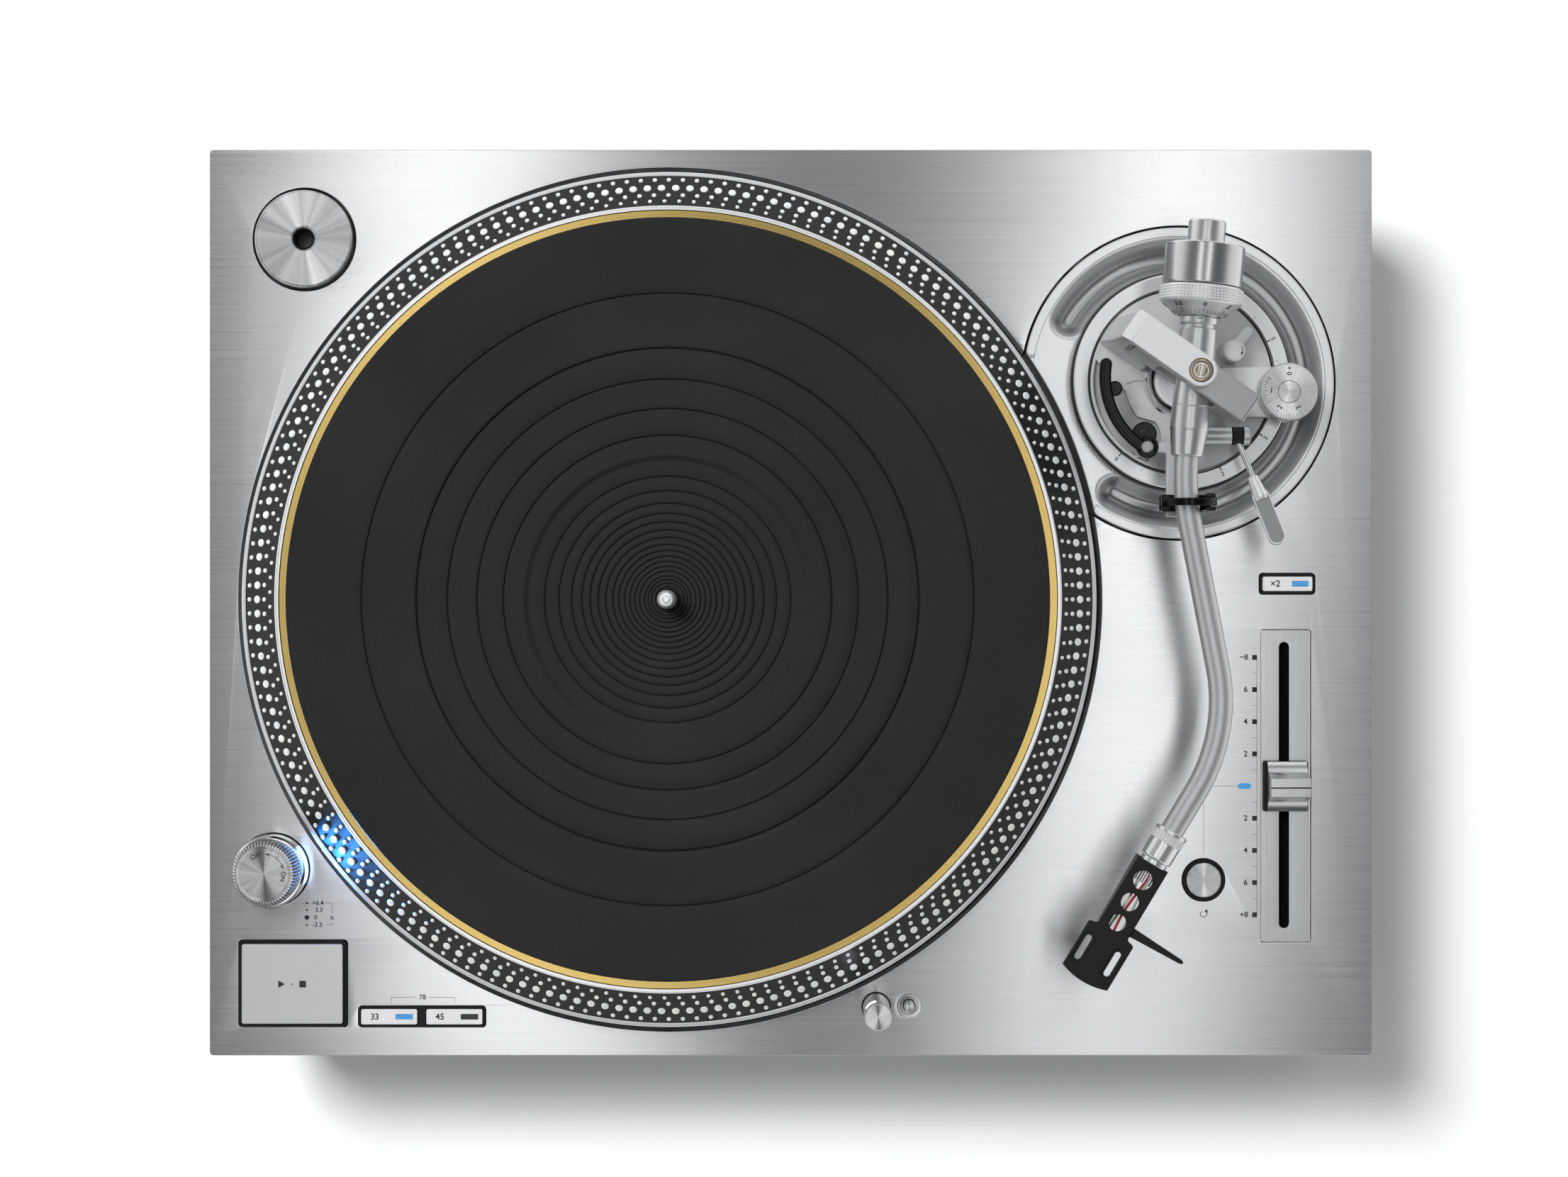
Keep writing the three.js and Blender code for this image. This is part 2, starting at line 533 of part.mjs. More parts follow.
{
  const { y, height, radius, slotFrom, slotTo } = CUE;
  const alongX = (from, to, r, sides = SIDES.small) => turned([[0, from], [r, from], [r, to], [0, to]], sides)
    .rotateY(Math.PI / 2).translate(0, y, height);
  add(armBase, 'cue_housing', join(
    alongX(3, slotFrom - GAP, radius), alongX(slotTo + GAP, 24.5, radius),
    block(3, 24.5, y - 3, y + 3, BASE_TOP + GAP, height - 4.4),
    block(3, slotFrom - GAP, y - 3, y + 3, height - 5, height), block(slotTo + GAP, 24.5, y - 3, y + 3, height - 5, height),
  ), cast());

  // The lever leans outwards and rises gently to a flat paddle
  const lean = 20.6;
  const slope = 8;
  const rodLength = 19;
  const handleLength = 26.6;
  const handle = prism(stadium(6.7, handleLength, 0, -rodLength - handleLength / 2 + 1), -1.6, 1.6, { chamfer: 0.6 });
  const ferrule = turnedForward([[0, 17], [2, 17], [2.6, 19], [2.9, 26], [0, 26]], 12);
  const rod = turnedForward([[0, 1.5], [1.2, 1.5], [1.2, 20], [0, 20]], 8);
  const arm = join(rod, ferrule, handle).rotateX(radians(-slope)).rotateZ(radians(lean));
  const hub = turned([[0, -2.6], [3.5, -2.6], [3.5, 2.6], [0, 2.6]], SIDES.small).rotateY(Math.PI / 2);
  add(armBase, 'cue_lever', join(hub, arm), satin(), (slotFrom + slotTo) / 2, y, height);
}

{
  const { radius, width, from, to, bottom, top } = LIFT;
  const half = width / 2;
  const eye = polar(REST_PIN.radius, REST_PIN.angle);
  const boss = polar(LIFT_BOSS.radius, LIFT_BOSS.angle);
  const tip = polar(radius, from);
  const stub = polar(28.6, 189);
  add(armBase, 'lift_bar', cut(join(
    prism(band(radius - half, radius + half, from, to, 12), bottom, top),
    prism(disc(half, tip.x, tip.y, SIDES.small), bottom, top),
    prism(disc(4.5, eye.x, eye.y, 18), bottom, top),
    prism(disc(2.9, stub.x, stub.y, SIDES.small), bottom, top - 1),
    prism(disc(4.5, boss.x, boss.y, 18), bottom, 31.4),
    prism(disc(1.75, boss.x, boss.y, 10), 4, 30),
  ), prism(disc(3.1, eye.x, eye.y, 18), 20, 40)), black());

  // Arm rest: a bracket on a pin, running under the tube to the cradle
  const bracketTop = 29;
  const bracket = [
    [eye.x, eye.y - 2], [-8.4, eye.y - 2], [-8.4, -53], [-2, -53], [-2, eye.y + 2], [eye.x, eye.y + 2],
  ].map(([px, py]) => new THREE.Vector2(px, py));
  add(armBase, 'arm_rest', join(
    prism(bracket, bracketTop - 3.4, bracketTop),
    prism(disc(2.6, eye.x, eye.y, SIDES.small), BASE_TOP - 2.7, bracketTop),
    prism(disc(2.4, eye.x, eye.y, SIDES.small), bracketTop - 1, 33.4, { chamfer: 0.4 }),
  ), cast());
}

const REST = { y: -48, x: -2.1 }; // where the tube crosses the rest
const CLIP_AXIS = { x: 5.6, height: ARM_AXIS_HEIGHT + 3 };
{
  const foot = 29.3;
  const saddle = 38.1;
  add(armBase, 'arm_rest_cradle', cut(join(
    block(REST.x - 9.2, REST.x + 9.6, -51.2, -44.8, foot, saddle - 3),
    block(REST.x - 4, REST.x + 4, -51.2, -44.8, saddle - 4, saddle),
    block(REST.x - 9.2, REST.x - 5.6, -51.2, -44.8, foot + 1, saddle - 0.8),
    block(CLIP_AXIS.x - 1.9, CLIP_AXIS.x + 1.9, -51.2, -49.6, foot + 1, CLIP_AXIS.height + 2),
    block(CLIP_AXIS.x - 1.9, CLIP_AXIS.x + 1.9, -46.4, -44.8, foot + 1, CLIP_AXIS.height + 2),
  )), black());

  // Clip: a hoop over the tube on a knuckle between the cradle's two ears
  const hoopInner = 9;
  const hoop = prism(band(hoopInner, hoopInner + 1.7, 12, 146, 9), -1.3, 1.3)
    .rotateX(Math.PI / 2).translate(REST.x, REST.y, ARM_AXIS_HEIGHT);
  const knuckle = turned([[0, -1.3], [1.8, -1.3], [1.8, 1.3], [0, 1.3]], SIDES.small).rotateX(Math.PI / 2)
    .translate(CLIP_AXIS.x, REST.y, CLIP_AXIS.height);
  const neck = block(CLIP_AXIS.x - 0.6, CLIP_AXIS.x + 1.6, REST.y - 1.3, REST.y + 1.3,
    CLIP_AXIS.height - 0.5, CLIP_AXIS.height + 2);
  add(armBase, 'arm_clip', join(hoop, knuckle, neck), black());
}

// ---------- Gimbal ----------

const gimbal = group(armBase, 0, 0, 0, GIMBAL_ANGLE);
const RING = { half: 24.3, width: 11.8, bottom: 31.5, top: 54.5, windowHalf: 12.6, windowBottom: 35, windowTop: 51 };
const YOKE = { bottom: 56.5, top: 62, width: 12, reach: 30.3 };
{
  // Yoke: a hook with a foot under the ring, a column on the platter side and a bar over the pivot
  const sideView = [
    [7, YOKE.bottom], [7, YOKE.top], [-YOKE.reach + 1.6, YOKE.top], [-YOKE.reach - 1.2, YOKE.top - 2.4],
    [-32.2, 44], [-33.4, 28], [-34.6, 14], [-34.9, BASE_TOP + GAP], [-16.4, BASE_TOP + GAP], [-15.4, 12.2],
    [-15.4, 21.6], [-18.4, 24.6], [-23.4, 28.6], [-26.2, 34], [-26.2, 52], [-25.2, 55], [-21, YOKE.bottom],
  ].map(([px, pz]) => new THREE.Vector2(px, pz));
  const web = prism(sideView, -9, 9).rotateX(Math.PI / 2);
  const planView = [
    ...arc(YOKE.width / 2, -90, 90, 10), new THREE.Vector2(-33, YOKE.width / 2), new THREE.Vector2(-35, 4),
    new THREE.Vector2(-35, -4), new THREE.Vector2(-33, -YOKE.width / 2),
  ];
  add(gimbal, 'gimbal_yoke', cut(common(web, prism(planView, 0, 70)),
    prism(disc(4.4, 0, 0, 20), 50, 70)), cast());

  add(gimbal, 'pivot_screw', cut(
    turned([[0, 54.9], [1.6, 56.2], [4, 56.2], [4, 61.4], [3.6, 61.9], [2.4, 61.9], [2.4, 62.5], [0, 62.5]], 16),
    block(-0.4, 0.4, -3, 3, 61.6, 63),
  ), brass());

  const { half, width, bottom, top, windowHalf, windowBottom, windowTop } = RING;
  add(gimbal, 'gimbal_ring', cut(
    prism(roundedBox(2 * half, width, 0.8), bottom, top, { chamfer: 0.7 }),
    block(-windowHalf, windowHalf, -width, width, windowBottom, windowTop),
    turned([[0, windowBottom - 6], [1.2, windowBottom - 6], [0, windowBottom - 1.4]], 12),
    turned([[0, 53.6], [2, 56], [0, 56]], 16),
  ), cast());
}

// ---------- Arm ----------

const arm = group(armBase, 0, 0, ARM_AXIS_HEIGHT);
const straight = group(arm, 0, 0, 0, ARM_HEADING);
const SHAFT = { radius: 6.95, rear: -58 };
{
  const shell = turnedForward([
    [0, SHAFT.rear], [6.3, SHAFT.rear], [SHAFT.radius, SHAFT.rear + 0.7], [SHAFT.radius, -18.6], [6.1, -18.2],
    [6.1, -17.2], [7, -16.8], [7, -3], [6.3, 3], [7.1, 12], [7.25, 20.8], [5.9, 31], [0, 31],
  ]);
  const trunnion = turned([[0, -12.3], [2, -12.3], [2, 12.3], [0, 12.3]], 10).rotateY(Math.PI / 2)
    .rotateZ(radians(GIMBAL_ANGLE - ARM_HEADING));
  add(straight, 'arm_housing', join(shell, trunnion), satin());

  add(straight, 'weight_sleeve', turnedForward([[7.25, -48.2], [7.75, -48.2], [7.75, -22.4], [7.25, -22.4]]),
    satin());
  add(straight, 'counterweight', turnedForward([
    [8.1, -48.5], [14.2, -48.5], [14.8, -47.9], [14.8, -32.8], [8.1, -32.8],
  ], 24), brushed());
  const dial = turnedForward([
    [8.1, -32.5], [15.2, -32.5], [15.2, -26.8], [14.6, -26.2], [8.7, -21.6], [8.1, -21.6],
  ], 24);
  const knurl = prism(toothed(15.9, 15.2, 24), 27.2, 31.8, { holes: [disc(12, 0, 0, 12)] })
    .rotateX(-Math.PI / 2);
  add(straight, 'force_dial', join(dial, knurl), satin());
}

// Tube: straight from the housing, a gentle bend out, a straight, the offset bend, and a straight to the headshell
const forward = (heading) => new THREE.Vector3(Math.sin(radians(heading)), -Math.cos(radians(heading)), 0);
const BEND_1 = { distance: 43.6, radius: 90 };
const BEND_2 = { distance: 92.7, radius: 66 };
const NUT_REAR = 42.4; // past the second bend's corner
const NUT_LENGTH = 12.4;
const corner1 = forward(ARM_HEADING).multiplyScalar(BEND_1.distance);
const corner2 = corner1.clone().addScaledVector(forward(MIDDLE_HEADING), BEND_2.distance);
const nutRear = corner2.clone().addScaledVector(forward(HEAD_HEADING), NUT_REAR);
{
  // Points of a bend of the given radius round a corner between two headings
  const bend = (corner, from, to, radius, steps) => {
    const tangent = radius * Math.tan(Math.abs(radians(to - from)) / 2);
    const start = corner.clone().addScaledVector(forward(from), -tangent);
    const side = Math.sign(to - from);
    const centre = start.clone().add(new THREE.Vector3(Math.cos(radians(from)), Math.sin(radians(from)), 0)
      .multiplyScalar(side * radius));
    return Array.from({ length: steps + 1 }, (_, i) => {
      const heading = from + (to - from) * i / steps;
      return centre.clone().add(new THREE.Vector3(Math.cos(radians(heading)), Math.sin(radians(heading)), 0)
        .multiplyScalar(-side * radius));
    });
  };
  const first = bend(corner1, ARM_HEADING, MIDDLE_HEADING, BEND_1.radius, 4);
  const second = bend(corner2, MIDDLE_HEADING, HEAD_HEADING, BEND_2.radius, 8);
  const start = forward(ARM_HEADING).multiplyScalar(31.3);
  const path = new THREE.CatmullRomCurve3([
    start, ...first, first.at(-1).clone().lerp(second[0], 0.5), ...second,
    nutRear.clone().addScaledVector(forward(HEAD_HEADING), -8), nutRear.clone().addScaledVector(forward(HEAD_HEADING), -GAP),
  ]);
  add(arm, 'arm_tube', new THREE.ExtrudeGeometry(new THREE.Shape(disc(4.5, 0, 0, SIDES.small)),
    { steps: 22, bevelEnabled: false, extrudePath: path }), satin());
}

const head = group(arm, nutRear.x, nutRear.y, 0, HEAD_HEADING);
{
  const body = turnedForward([
    [4.2, 0], [6.2, 0], [6.2, NUT_LENGTH - 0.5], [5.9, NUT_LENGTH], [4.2, NUT_LENGTH],
  ]);
  const knurl = prism(toothed(6.8, 6.2, 18), 0.8, 5.2, { holes: [disc(5, 0, 0, 12)] }).rotateX(Math.PI / 2);
  const bore = turnedForward([[0, 2], [4.2, 2], [4.2, NUT_LENGTH + 1], [0, NUT_LENGTH + 1]]);
  add(head, 'headshell_nut', cut(join(turnedForward([[0, 0], [5, 0], [5, 3], [0, 3]]), body, knurl), bore), satin());

  // Headshell: narrow neck with three lightening holes, wide front with two cartridge slots
  const rear = NUT_LENGTH + 1.8;
  const neckHalf = 6.4;
  const frontHalf = 9.7;
  const stepAt = rear + 30.5;
  const tip = rear + 49.6;
  const plateTop = 3;
  const outline = [
    new THREE.Vector2(-neckHalf, -rear), new THREE.Vector2(-neckHalf, -stepAt + 1.5),
    ...arc(1.5, 0, -90, 3, -neckHalf - 1.5, -stepAt + 1.5).slice(1), new THREE.Vector2(-frontHalf + 0.6, -stepAt),
    new THREE.Vector2(-frontHalf, -stepAt - 0.6), new THREE.Vector2(-frontHalf, -tip),
    ...arc(27, 249, 291, 8, 0, -tip + 25.2).slice(1, -1), new THREE.Vector2(frontHalf, -tip),
    new THREE.Vector2(frontHalf, -stepAt - 0.6), new THREE.Vector2(frontHalf - 0.6, -stepAt),
    ...arc(1.5, 270, 180, 3, neckHalf + 1.5, -stepAt + 1.5).slice(0, -1),
    new THREE.Vector2(neckHalf, -stepAt + 1.5), new THREE.Vector2(neckHalf, -rear),
  ];
  const lightening = [[7.4, 3.75], [16.9, 3.5], [25.9, 3.3]].map(([at, radius]) => disc(radius, 0, -rear - at, 18));
  const slots = [-6.35, 6.35].map((x) => stadium(2.6, 10.4, x, -rear - 40.2));
  const plate = prism(outline, 0, plateTop, { holes: [...lightening, ...slots] });
  const rearBlock = block(-neckHalf, neckHalf, -rear - 3.2, -rear, -5, 1);
  const rails = [-1, 1].map((side) => prism([
    [-rear, 0.5], [-rear, -5], [-rear - 6, -5], [-rear - 29, -1.4], [-rear - 29, 0.5],
  ].map(([py, pz]) => new THREE.Vector2(-py, pz)), -0.8, 0.8)
    .rotateX(Math.PI / 2).rotateZ(-Math.PI / 2).translate(side * (neckHalf - 0.8), 0, 0));
  const plug = turnedForward([[0, 2.6], [3.6, 2.6], [3.6, NUT_LENGTH + 0.3], [5.4, NUT_LENGTH + 0.3], [5.4, rear + 0.5],
    [0, rear + 0.5]], 18);
  add(head, 'headshell', join(plate, rearBlock, ...rails, plug), black());

  const lift = [[0, -1.9], [21.5, -0.9], [22.2, 0], [21.5, 0.9], [0, 1.9]].map(([px, py]) => new THREE.Vector2(px, py));
  add(head, 'finger_lift', prism(lift, -1.1, 1.1), black(), neckHalf + GAP, -rear - 26.3, 1);

  // Four short leads on their terminal block, under the headshell plate
  const leads = [-3, -1, 1, 3].map((x) => turnedForward([[0, 0], [0.6, 0], [0.6, 31], [0, 31]], 6)
    .translate(x, -rear - 4.4, -2.2));
  add(head, 'headshell_leads', join(block(-4.2, 4.2, -rear - 5.4, -rear - 3.5, -3.4, -1), ...leads),
    finish(0xd8d8d6, 0.5, 0));
}

export default player;
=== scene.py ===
import json
import math

import bmesh
import bpy
import numpy as np
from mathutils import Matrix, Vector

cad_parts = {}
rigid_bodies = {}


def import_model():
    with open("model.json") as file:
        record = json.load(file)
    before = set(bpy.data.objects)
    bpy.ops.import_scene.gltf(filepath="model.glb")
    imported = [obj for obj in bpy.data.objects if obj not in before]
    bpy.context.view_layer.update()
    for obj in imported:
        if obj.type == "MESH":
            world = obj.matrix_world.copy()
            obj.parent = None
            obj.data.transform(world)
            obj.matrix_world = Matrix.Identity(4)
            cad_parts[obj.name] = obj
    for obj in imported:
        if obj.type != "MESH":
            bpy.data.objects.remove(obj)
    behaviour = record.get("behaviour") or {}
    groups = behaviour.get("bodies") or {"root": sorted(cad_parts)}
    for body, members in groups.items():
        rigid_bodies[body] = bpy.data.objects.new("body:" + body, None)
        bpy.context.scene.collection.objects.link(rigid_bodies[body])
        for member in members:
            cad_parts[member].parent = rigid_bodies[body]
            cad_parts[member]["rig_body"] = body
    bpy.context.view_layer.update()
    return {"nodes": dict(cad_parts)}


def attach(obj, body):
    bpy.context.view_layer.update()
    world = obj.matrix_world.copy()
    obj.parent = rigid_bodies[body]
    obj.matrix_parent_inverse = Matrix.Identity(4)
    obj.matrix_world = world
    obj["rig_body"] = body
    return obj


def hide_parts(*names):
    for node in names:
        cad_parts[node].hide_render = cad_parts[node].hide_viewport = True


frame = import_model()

nodes = frame["nodes"]

# ---- Base tray ----
# A heavy moulded rubber tray closes the chassis from below and damps it. It is one thick black moulding
# with softly rounded edges, held up to the casting by screws inside the feet.

MM = 0.001
DECK = 104  # the top plate's upper face above the floor; pieces count their heights from it


def grey(value):
    """Neutral colour, a trace cooler than pure grey."""
    return (value, value, value * 1.01)


class Wire:
    """One output socket of a material's nodes. It adds, takes away, multiplies and so on as a number does."""

    def __init__(self, tree, socket=None):
        self.tree = tree
        self.socket = socket

    def node(self, kind, settings=(), sockets=(), output=0):
        """Adds a node of that type: first its settings, then its sockets' values or wires."""
        made = self.tree.nodes.new("ShaderNode" + kind)
        for key, value in dict(settings).items():
            setattr(made, key, value)
        for key, value in dict(sockets).items():
            if isinstance(value, Wire):
                self.tree.links.new(value.socket, made.inputs[key])
            else:
                made.inputs[key].default_value = value
        return Wire(self.tree, made.outputs[output])

    def maths(self, operation, *values):
        """One Math node of that operation."""
        return self.node("Math", {"operation": operation}, enumerate(values))

    def __add__(self, other):
        return self.maths("ADD", self, other)

    __radd__ = __add__

    def __sub__(self, other):
        return self.maths("SUBTRACT", self, other)

    def __rsub__(self, other):
        return self.maths("SUBTRACT", other, self)

    def __mul__(self, other):
        return self.maths("MULTIPLY", self, other)

    __rmul__ = __mul__

    def __truediv__(self, other):
        return self.maths("DIVIDE", self, other)

    def __pow__(self, other):
        return self.maths("POWER", self, other)

    def axis(self, number):
        """X, Y or Z of these coordinates, as 0, 1 or 2."""
        return self.node("SeparateXYZ", {}, {0: self}, number)

    def stretched(self, x, y, z, at=(0, 0, 0), turn=0):
        """The same coordinates counted from a point in millimetres, turned about Z and scaled per metre."""
        moved = self.node("VectorMath", {"operation": "SUBTRACT"}, {0: self, 1: [v * MM for v in at]})
        turned = moved.node("Mapping", {"vector_type": "TEXTURE"}, {0: moved, 2: (0, 0, turn)})
        return turned.node("Mapping", {}, {0: turned, 3: (x, y, z)})

    def about(self, x, y):
        """Coordinates counted from an upright axis at a point in millimetres, and the distance to it."""
        centred = self.stretched(1, 1, 1, at=(x, y, 0))
        return centred, (centred.axis(0) ** 2 + centred.axis(1) ** 2) ** 0.5

    def noise(self, scale, detail=2.0, rough=0.5):
        """Smooth noise from 0 to 1, with its coarsest grain at that many a metre."""
        return self.node("TexNoise", {}, {"Vector": self, "Scale": scale, "Detail": detail,
                                          "Roughness": rough})

    def lines(self, scale, detail=3.0, rough=0.7, second=0.0):
        """The same noise over this one value and perhaps a second, which draws fine lines."""
        return self.node("CombineXYZ", {}, {0: self, 1: second}).noise(scale, detail, rough)

    def span(self, low, high):
        """0 to 1 as this value goes from low to high, and flat outside."""
        return self.node("MapRange", {}, {0: self, 1: low, 2: high})

    def mix(self, first, second):
        """One colour to another as this value goes from 0 to 1."""
        return self.node("Mix", {"data_type": "RGBA"}, {0: self, 6: first, 7: second}, 2)

    def greys(self, first, second):
        """One grey to another as this value goes from 0 to 1."""
        return self.mix((*grey(first), 1), (*grey(second), 1))

    def bump(self, depth):
        """Surface normals for this height, where a height of 1 is that many millimetres."""
        return self.node("Bump", {}, {"Strength": 1.0, "Distance": depth * MM, "Height": self})


def finish(name, color, roughness, metallic=0.0, pattern=None, **steady):
    """Material with steady values on its shader's own sockets. pattern takes the object coordinates and
    returns the sockets that vary over the surface. A plain number for the colour is a grey."""
    color = color if isinstance(color, tuple) else grey(color)
    material = bpy.data.materials.new(name)
    material.use_nodes = True
    tree = material.node_tree
    shader = tree.nodes["Principled BSDF"]
    values = {"Base Color": (*color, 1), "Roughness": roughness, "Metallic": metallic}
    values.update({key.replace("_", " ").title().replace("Ior", "IOR"): value
                   for key, value in steady.items()})
    for key, value in values.items():
        shader.inputs[key].default_value = value
    if pattern:
        place = Wire(tree).node("TexCoord", output="Object")
        for key, wire in pattern(place).items():
            tree.links.new(wire.socket, shader.inputs[key])
    material.diffuse_color = (*color, 1)
    return material


def cleaned(mesh, material, angle, clean):
    """Gives a mesh its one material, merges doubled corners, runs one more step on its shell, and shades it
    smooth except along edges sharper than the angle in degrees."""
    shell = bmesh.new()
    shell.from_mesh(mesh)
    bmesh.ops.remove_doubles(shell, verts=shell.verts, dist=2e-6)
    clean(shell)
    shell.to_mesh(mesh)
    shell.free()
    mesh.shade_smooth()
    mesh.set_sharp_from_angle(angle=math.radians(angle))
    mesh.materials.clear()
    mesh.materials.append(material)


def shown_as(name, mesh, body, replaces):
    """New object for a mesh, told to the frame: its body and the nodes it replaces."""
    shown = bpy.data.objects.new(name, mesh)
    bpy.context.scene.collection.objects.link(shown)
    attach(shown, body)
    if replaces:
        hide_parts(*replaces)
    return shown


def dress(node, material, edge, angle=32):
    """Shown copy of a CAD node, smooth below that angle, with its edges eased by that many millimetres."""
    mesh = nodes[node].data.copy()
    cleaned(mesh, material, angle, lambda shell: bmesh.ops.dissolve_limit(
        shell, angle_limit=0.01, verts=shell.verts, edges=shell.edges))
    shown = shown_as(node + "_skin", mesh, nodes[node]["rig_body"], [node])
    ease = shown.modifiers.new("eased edges", "BEVEL")
    ease.width = edge * MM
    ease.segments = 2
    ease.limit_method = "ANGLE"
    ease.angle_limit = math.radians(angle)
    ease.harden_normals = True


def rubber_skin(place):
    """Fine moulded grain with slow dull patches."""
    return {
        "Roughness": 0.62 + 0.2 * place.noise(60, 2),
        "Normal": place.noise(1800, 3).bump(0.05),
        "Base Color": place.noise(25, 3).greys(0.016, 0.03),
    }


tray_rubber = finish("tray rubber", 0.022, 0.7, pattern=rubber_skin)
dress("base_tray", tray_rubber, 1.2)

# ---- Chassis casting ----
# The die-cast chassis carries the motor, the arm and the top plate. Its sides are painted silver over a
# faint casting grain, and the well for the platter is left in the same paint.


def cast_grain(bright, dark, rough, depth=0.03):
    """Painted casting: fine grains with a slow cloudiness and a matching change of gloss."""
    def pattern(place):
        grain = place.noise(2600, 3, 0.6)
        cloud = place.noise(40, 3)
        return {
            "Base Color": (0.55 * grain + 0.45 * cloud).span(0.3, 0.7).greys(dark, bright),
            "Roughness": rough + 0.12 * (grain - 0.5) + 0.08 * (cloud - 0.5),
            "Normal": grain.bump(depth),
        }
    return pattern


casting_paint = finish("casting paint", 0.5, 0.42, 0.85, cast_grain(0.56, 0.44, 0.42))
dress("chassis_casting", casting_paint, 0.6)

# ---- Feet ----
# Each foot is a cast cup with a grooved side and a rubber sole. A steel stud on top screws into the
# chassis, so turning a foot sets its height.


def eased(points, radius, closed=True, steps=3):
    """Outline or profile with its corners rounded: each corner becomes a quadratic arc that starts and ends
    on its two edges, that radius away or at most 0.45 of the edge."""
    points = np.asarray(points, float)
    before, after = np.roll(points, 1, 0) - points, np.roll(points, -1, 0) - points
    lengths = [np.maximum(np.linalg.norm(edge, axis=1, keepdims=True), 1e-9) for edge in (before, after)]
    start, end = (points + edge / size * np.minimum(radius, 0.45 * size)
                  for edge, size in zip((before, after), lengths))
    t = np.linspace(0, 1, steps + 1)[None, :, None]
    arcs = (1 - t) ** 2 * start[:, None] + 2 * t * (1 - t) * points[:, None] + t ** 2 * end[:, None]
    if not closed:
        arcs[0], arcs[-1] = points[0], points[-1]
    return arcs.reshape(-1, points.shape[1])


def quads(rows, columns, wrap_rows=False):
    """Corner numbers of the quads on a grid of points whose rows close on themselves."""
    down = np.arange(rows if wrap_rows else rows - 1)[:, None]
    along = np.arange(columns)[None, :]
    a = down * columns + along
    b = down * columns + (along + 1) % columns
    c = (down + 1) % rows * columns + (along + 1) % columns
    d = (down + 1) % rows * columns + along
    return np.stack([a, b, c, d], -1).reshape(-1, 4)


def moved(part, x=0.0, y=0.0, z=0.0, turn=0.0):
    """A part turned about Z by that many degrees and then moved, in millimetres."""
    points, faces = part
    c, s = math.cos(math.radians(turn)), math.sin(math.radians(turn))
    return points @ np.array([[c, s, 0], [-s, c, 0], [0, 0, 1]]) + np.array([x, y, z]), faces


def turned(profile, sides, at=(0, 0), ease=0.0, closed=False, steps=3):
    """Surface of revolution of (radius, height) points about an upright axis: (r cos a, r sin a, z). The
    profile's corners may be eased first, and a closed profile makes a ring."""
    profile = eased(profile, ease, closed, steps) if ease else np.asarray(profile, float)
    r, z = profile.T[:, :, None]
    a = np.linspace(0, 2 * np.pi, sides, endpoint=False)[None, :]
    points = np.stack([r * np.cos(a), r * np.sin(a), z + 0 * a], -1)
    return moved((points.reshape(-1, 3), quads(len(r), sides, closed)), *at)


def piece(name, parts, material, body, replaces=(), angle=35, flat=True):
    """One shown piece from parts of (points in millimetres above the deck, faces). Its faces turn outwards,
    and larger faces rule the shading, so flat ones look flat."""
    points, faces, count = [], [], 0
    for part_points, part_faces in parts:
        points.append(part_points)
        faces.extend((np.asarray(face) + count).tolist() for face in part_faces)
        count += len(part_points)
    mesh = bpy.data.meshes.new(name)
    mesh.from_pydata(((np.concatenate(points) + [0, 0, DECK]) * MM).tolist(), [], faces)

    def outwards(shell):
        bmesh.ops.dissolve_degenerate(shell, dist=1e-6, edges=shell.edges)
        bmesh.ops.recalc_face_normals(shell, faces=shell.faces)

    cleaned(mesh, material, angle, outwards)
    shown = shown_as(name, mesh, body, replaces)
    if flat:
        shown.modifiers.new("flat faces", "WEIGHTED_NORMAL").keep_sharp = True
    return shown


foot_paint = finish("foot paint", 0.2, 0.4, 0.8, cast_grain(0.26, 0.17, 0.38))
sole_rubber = finish("sole rubber", 0.02, 0.75, pattern=rubber_skin)
cup_side = [(31, 8.6)]
for groove in (13, 17, 21, 25):
    cup_side += [(31, groove - 0.7), (30.2, groove), (31, groove + 0.7)]
cup = [(0, 7.2), (26.2, 7.2), (30.4, 7.8), *cup_side, (31, 29), (29.4, 30.8), (5, 30.8), (5, 43.5), (0, 43.5)]
sole = [(0, 0), (28, 0), (28, 5), (26.6, 5.6), (26.6, 7.2), (0, 7.2)]
FOOT_X, FOOT_Y = 176, 131.5
for corner, at in {"rear_right": (FOOT_X, FOOT_Y), "rear_left": (-FOOT_X, FOOT_Y),
                   "front_left": (-FOOT_X, -FOOT_Y), "front_right": (FOOT_X, -FOOT_Y)}.items():
    body = "foot_" + corner
    piece(body + "_cup", [moved(turned(cup, 72, at, 0.5), z=-DECK)], foot_paint, body, [body])
    piece(body + "_sole", [moved(turned(sole, 72, at, 0.8), z=-DECK)], sole_rubber, body)

# ---- Motor and electronics ----
# The direct-drive stator is a ring of copper coils on a board under the platter, round a steel bearing
# housing. The power supply and the control board lie in the tray. All of it is hidden once it is closed.


def winding(place):
    """Copper wire: fine rings round each coil."""
    rings = place.maths("SINE", place.axis(2) * 9000)
    return {"Roughness": 0.35 + 0.1 * place.noise(900), "Normal": rings.bump(0.02)}


def board_mask(place):
    """Solder mask with a faint pattern of tracks."""
    tracks = place.noise(260, 1).span(0.48, 0.52)
    return {"Base Color": tracks.mix((0.012, 0.09, 0.03, 1), (0.02, 0.13, 0.05, 1)),
            "Roughness": 0.35 + 0.1 * tracks}


copper = finish("coil copper", (0.55, 0.22, 0.09), 0.4, 1, winding)
board = finish("circuit board", (0.02, 0.11, 0.04), 0.4, pattern=board_mask)
dark_steel = finish("dark steel", 0.22, 0.35, 1, cast_grain(0.26, 0.18, 0.33, 0.01))
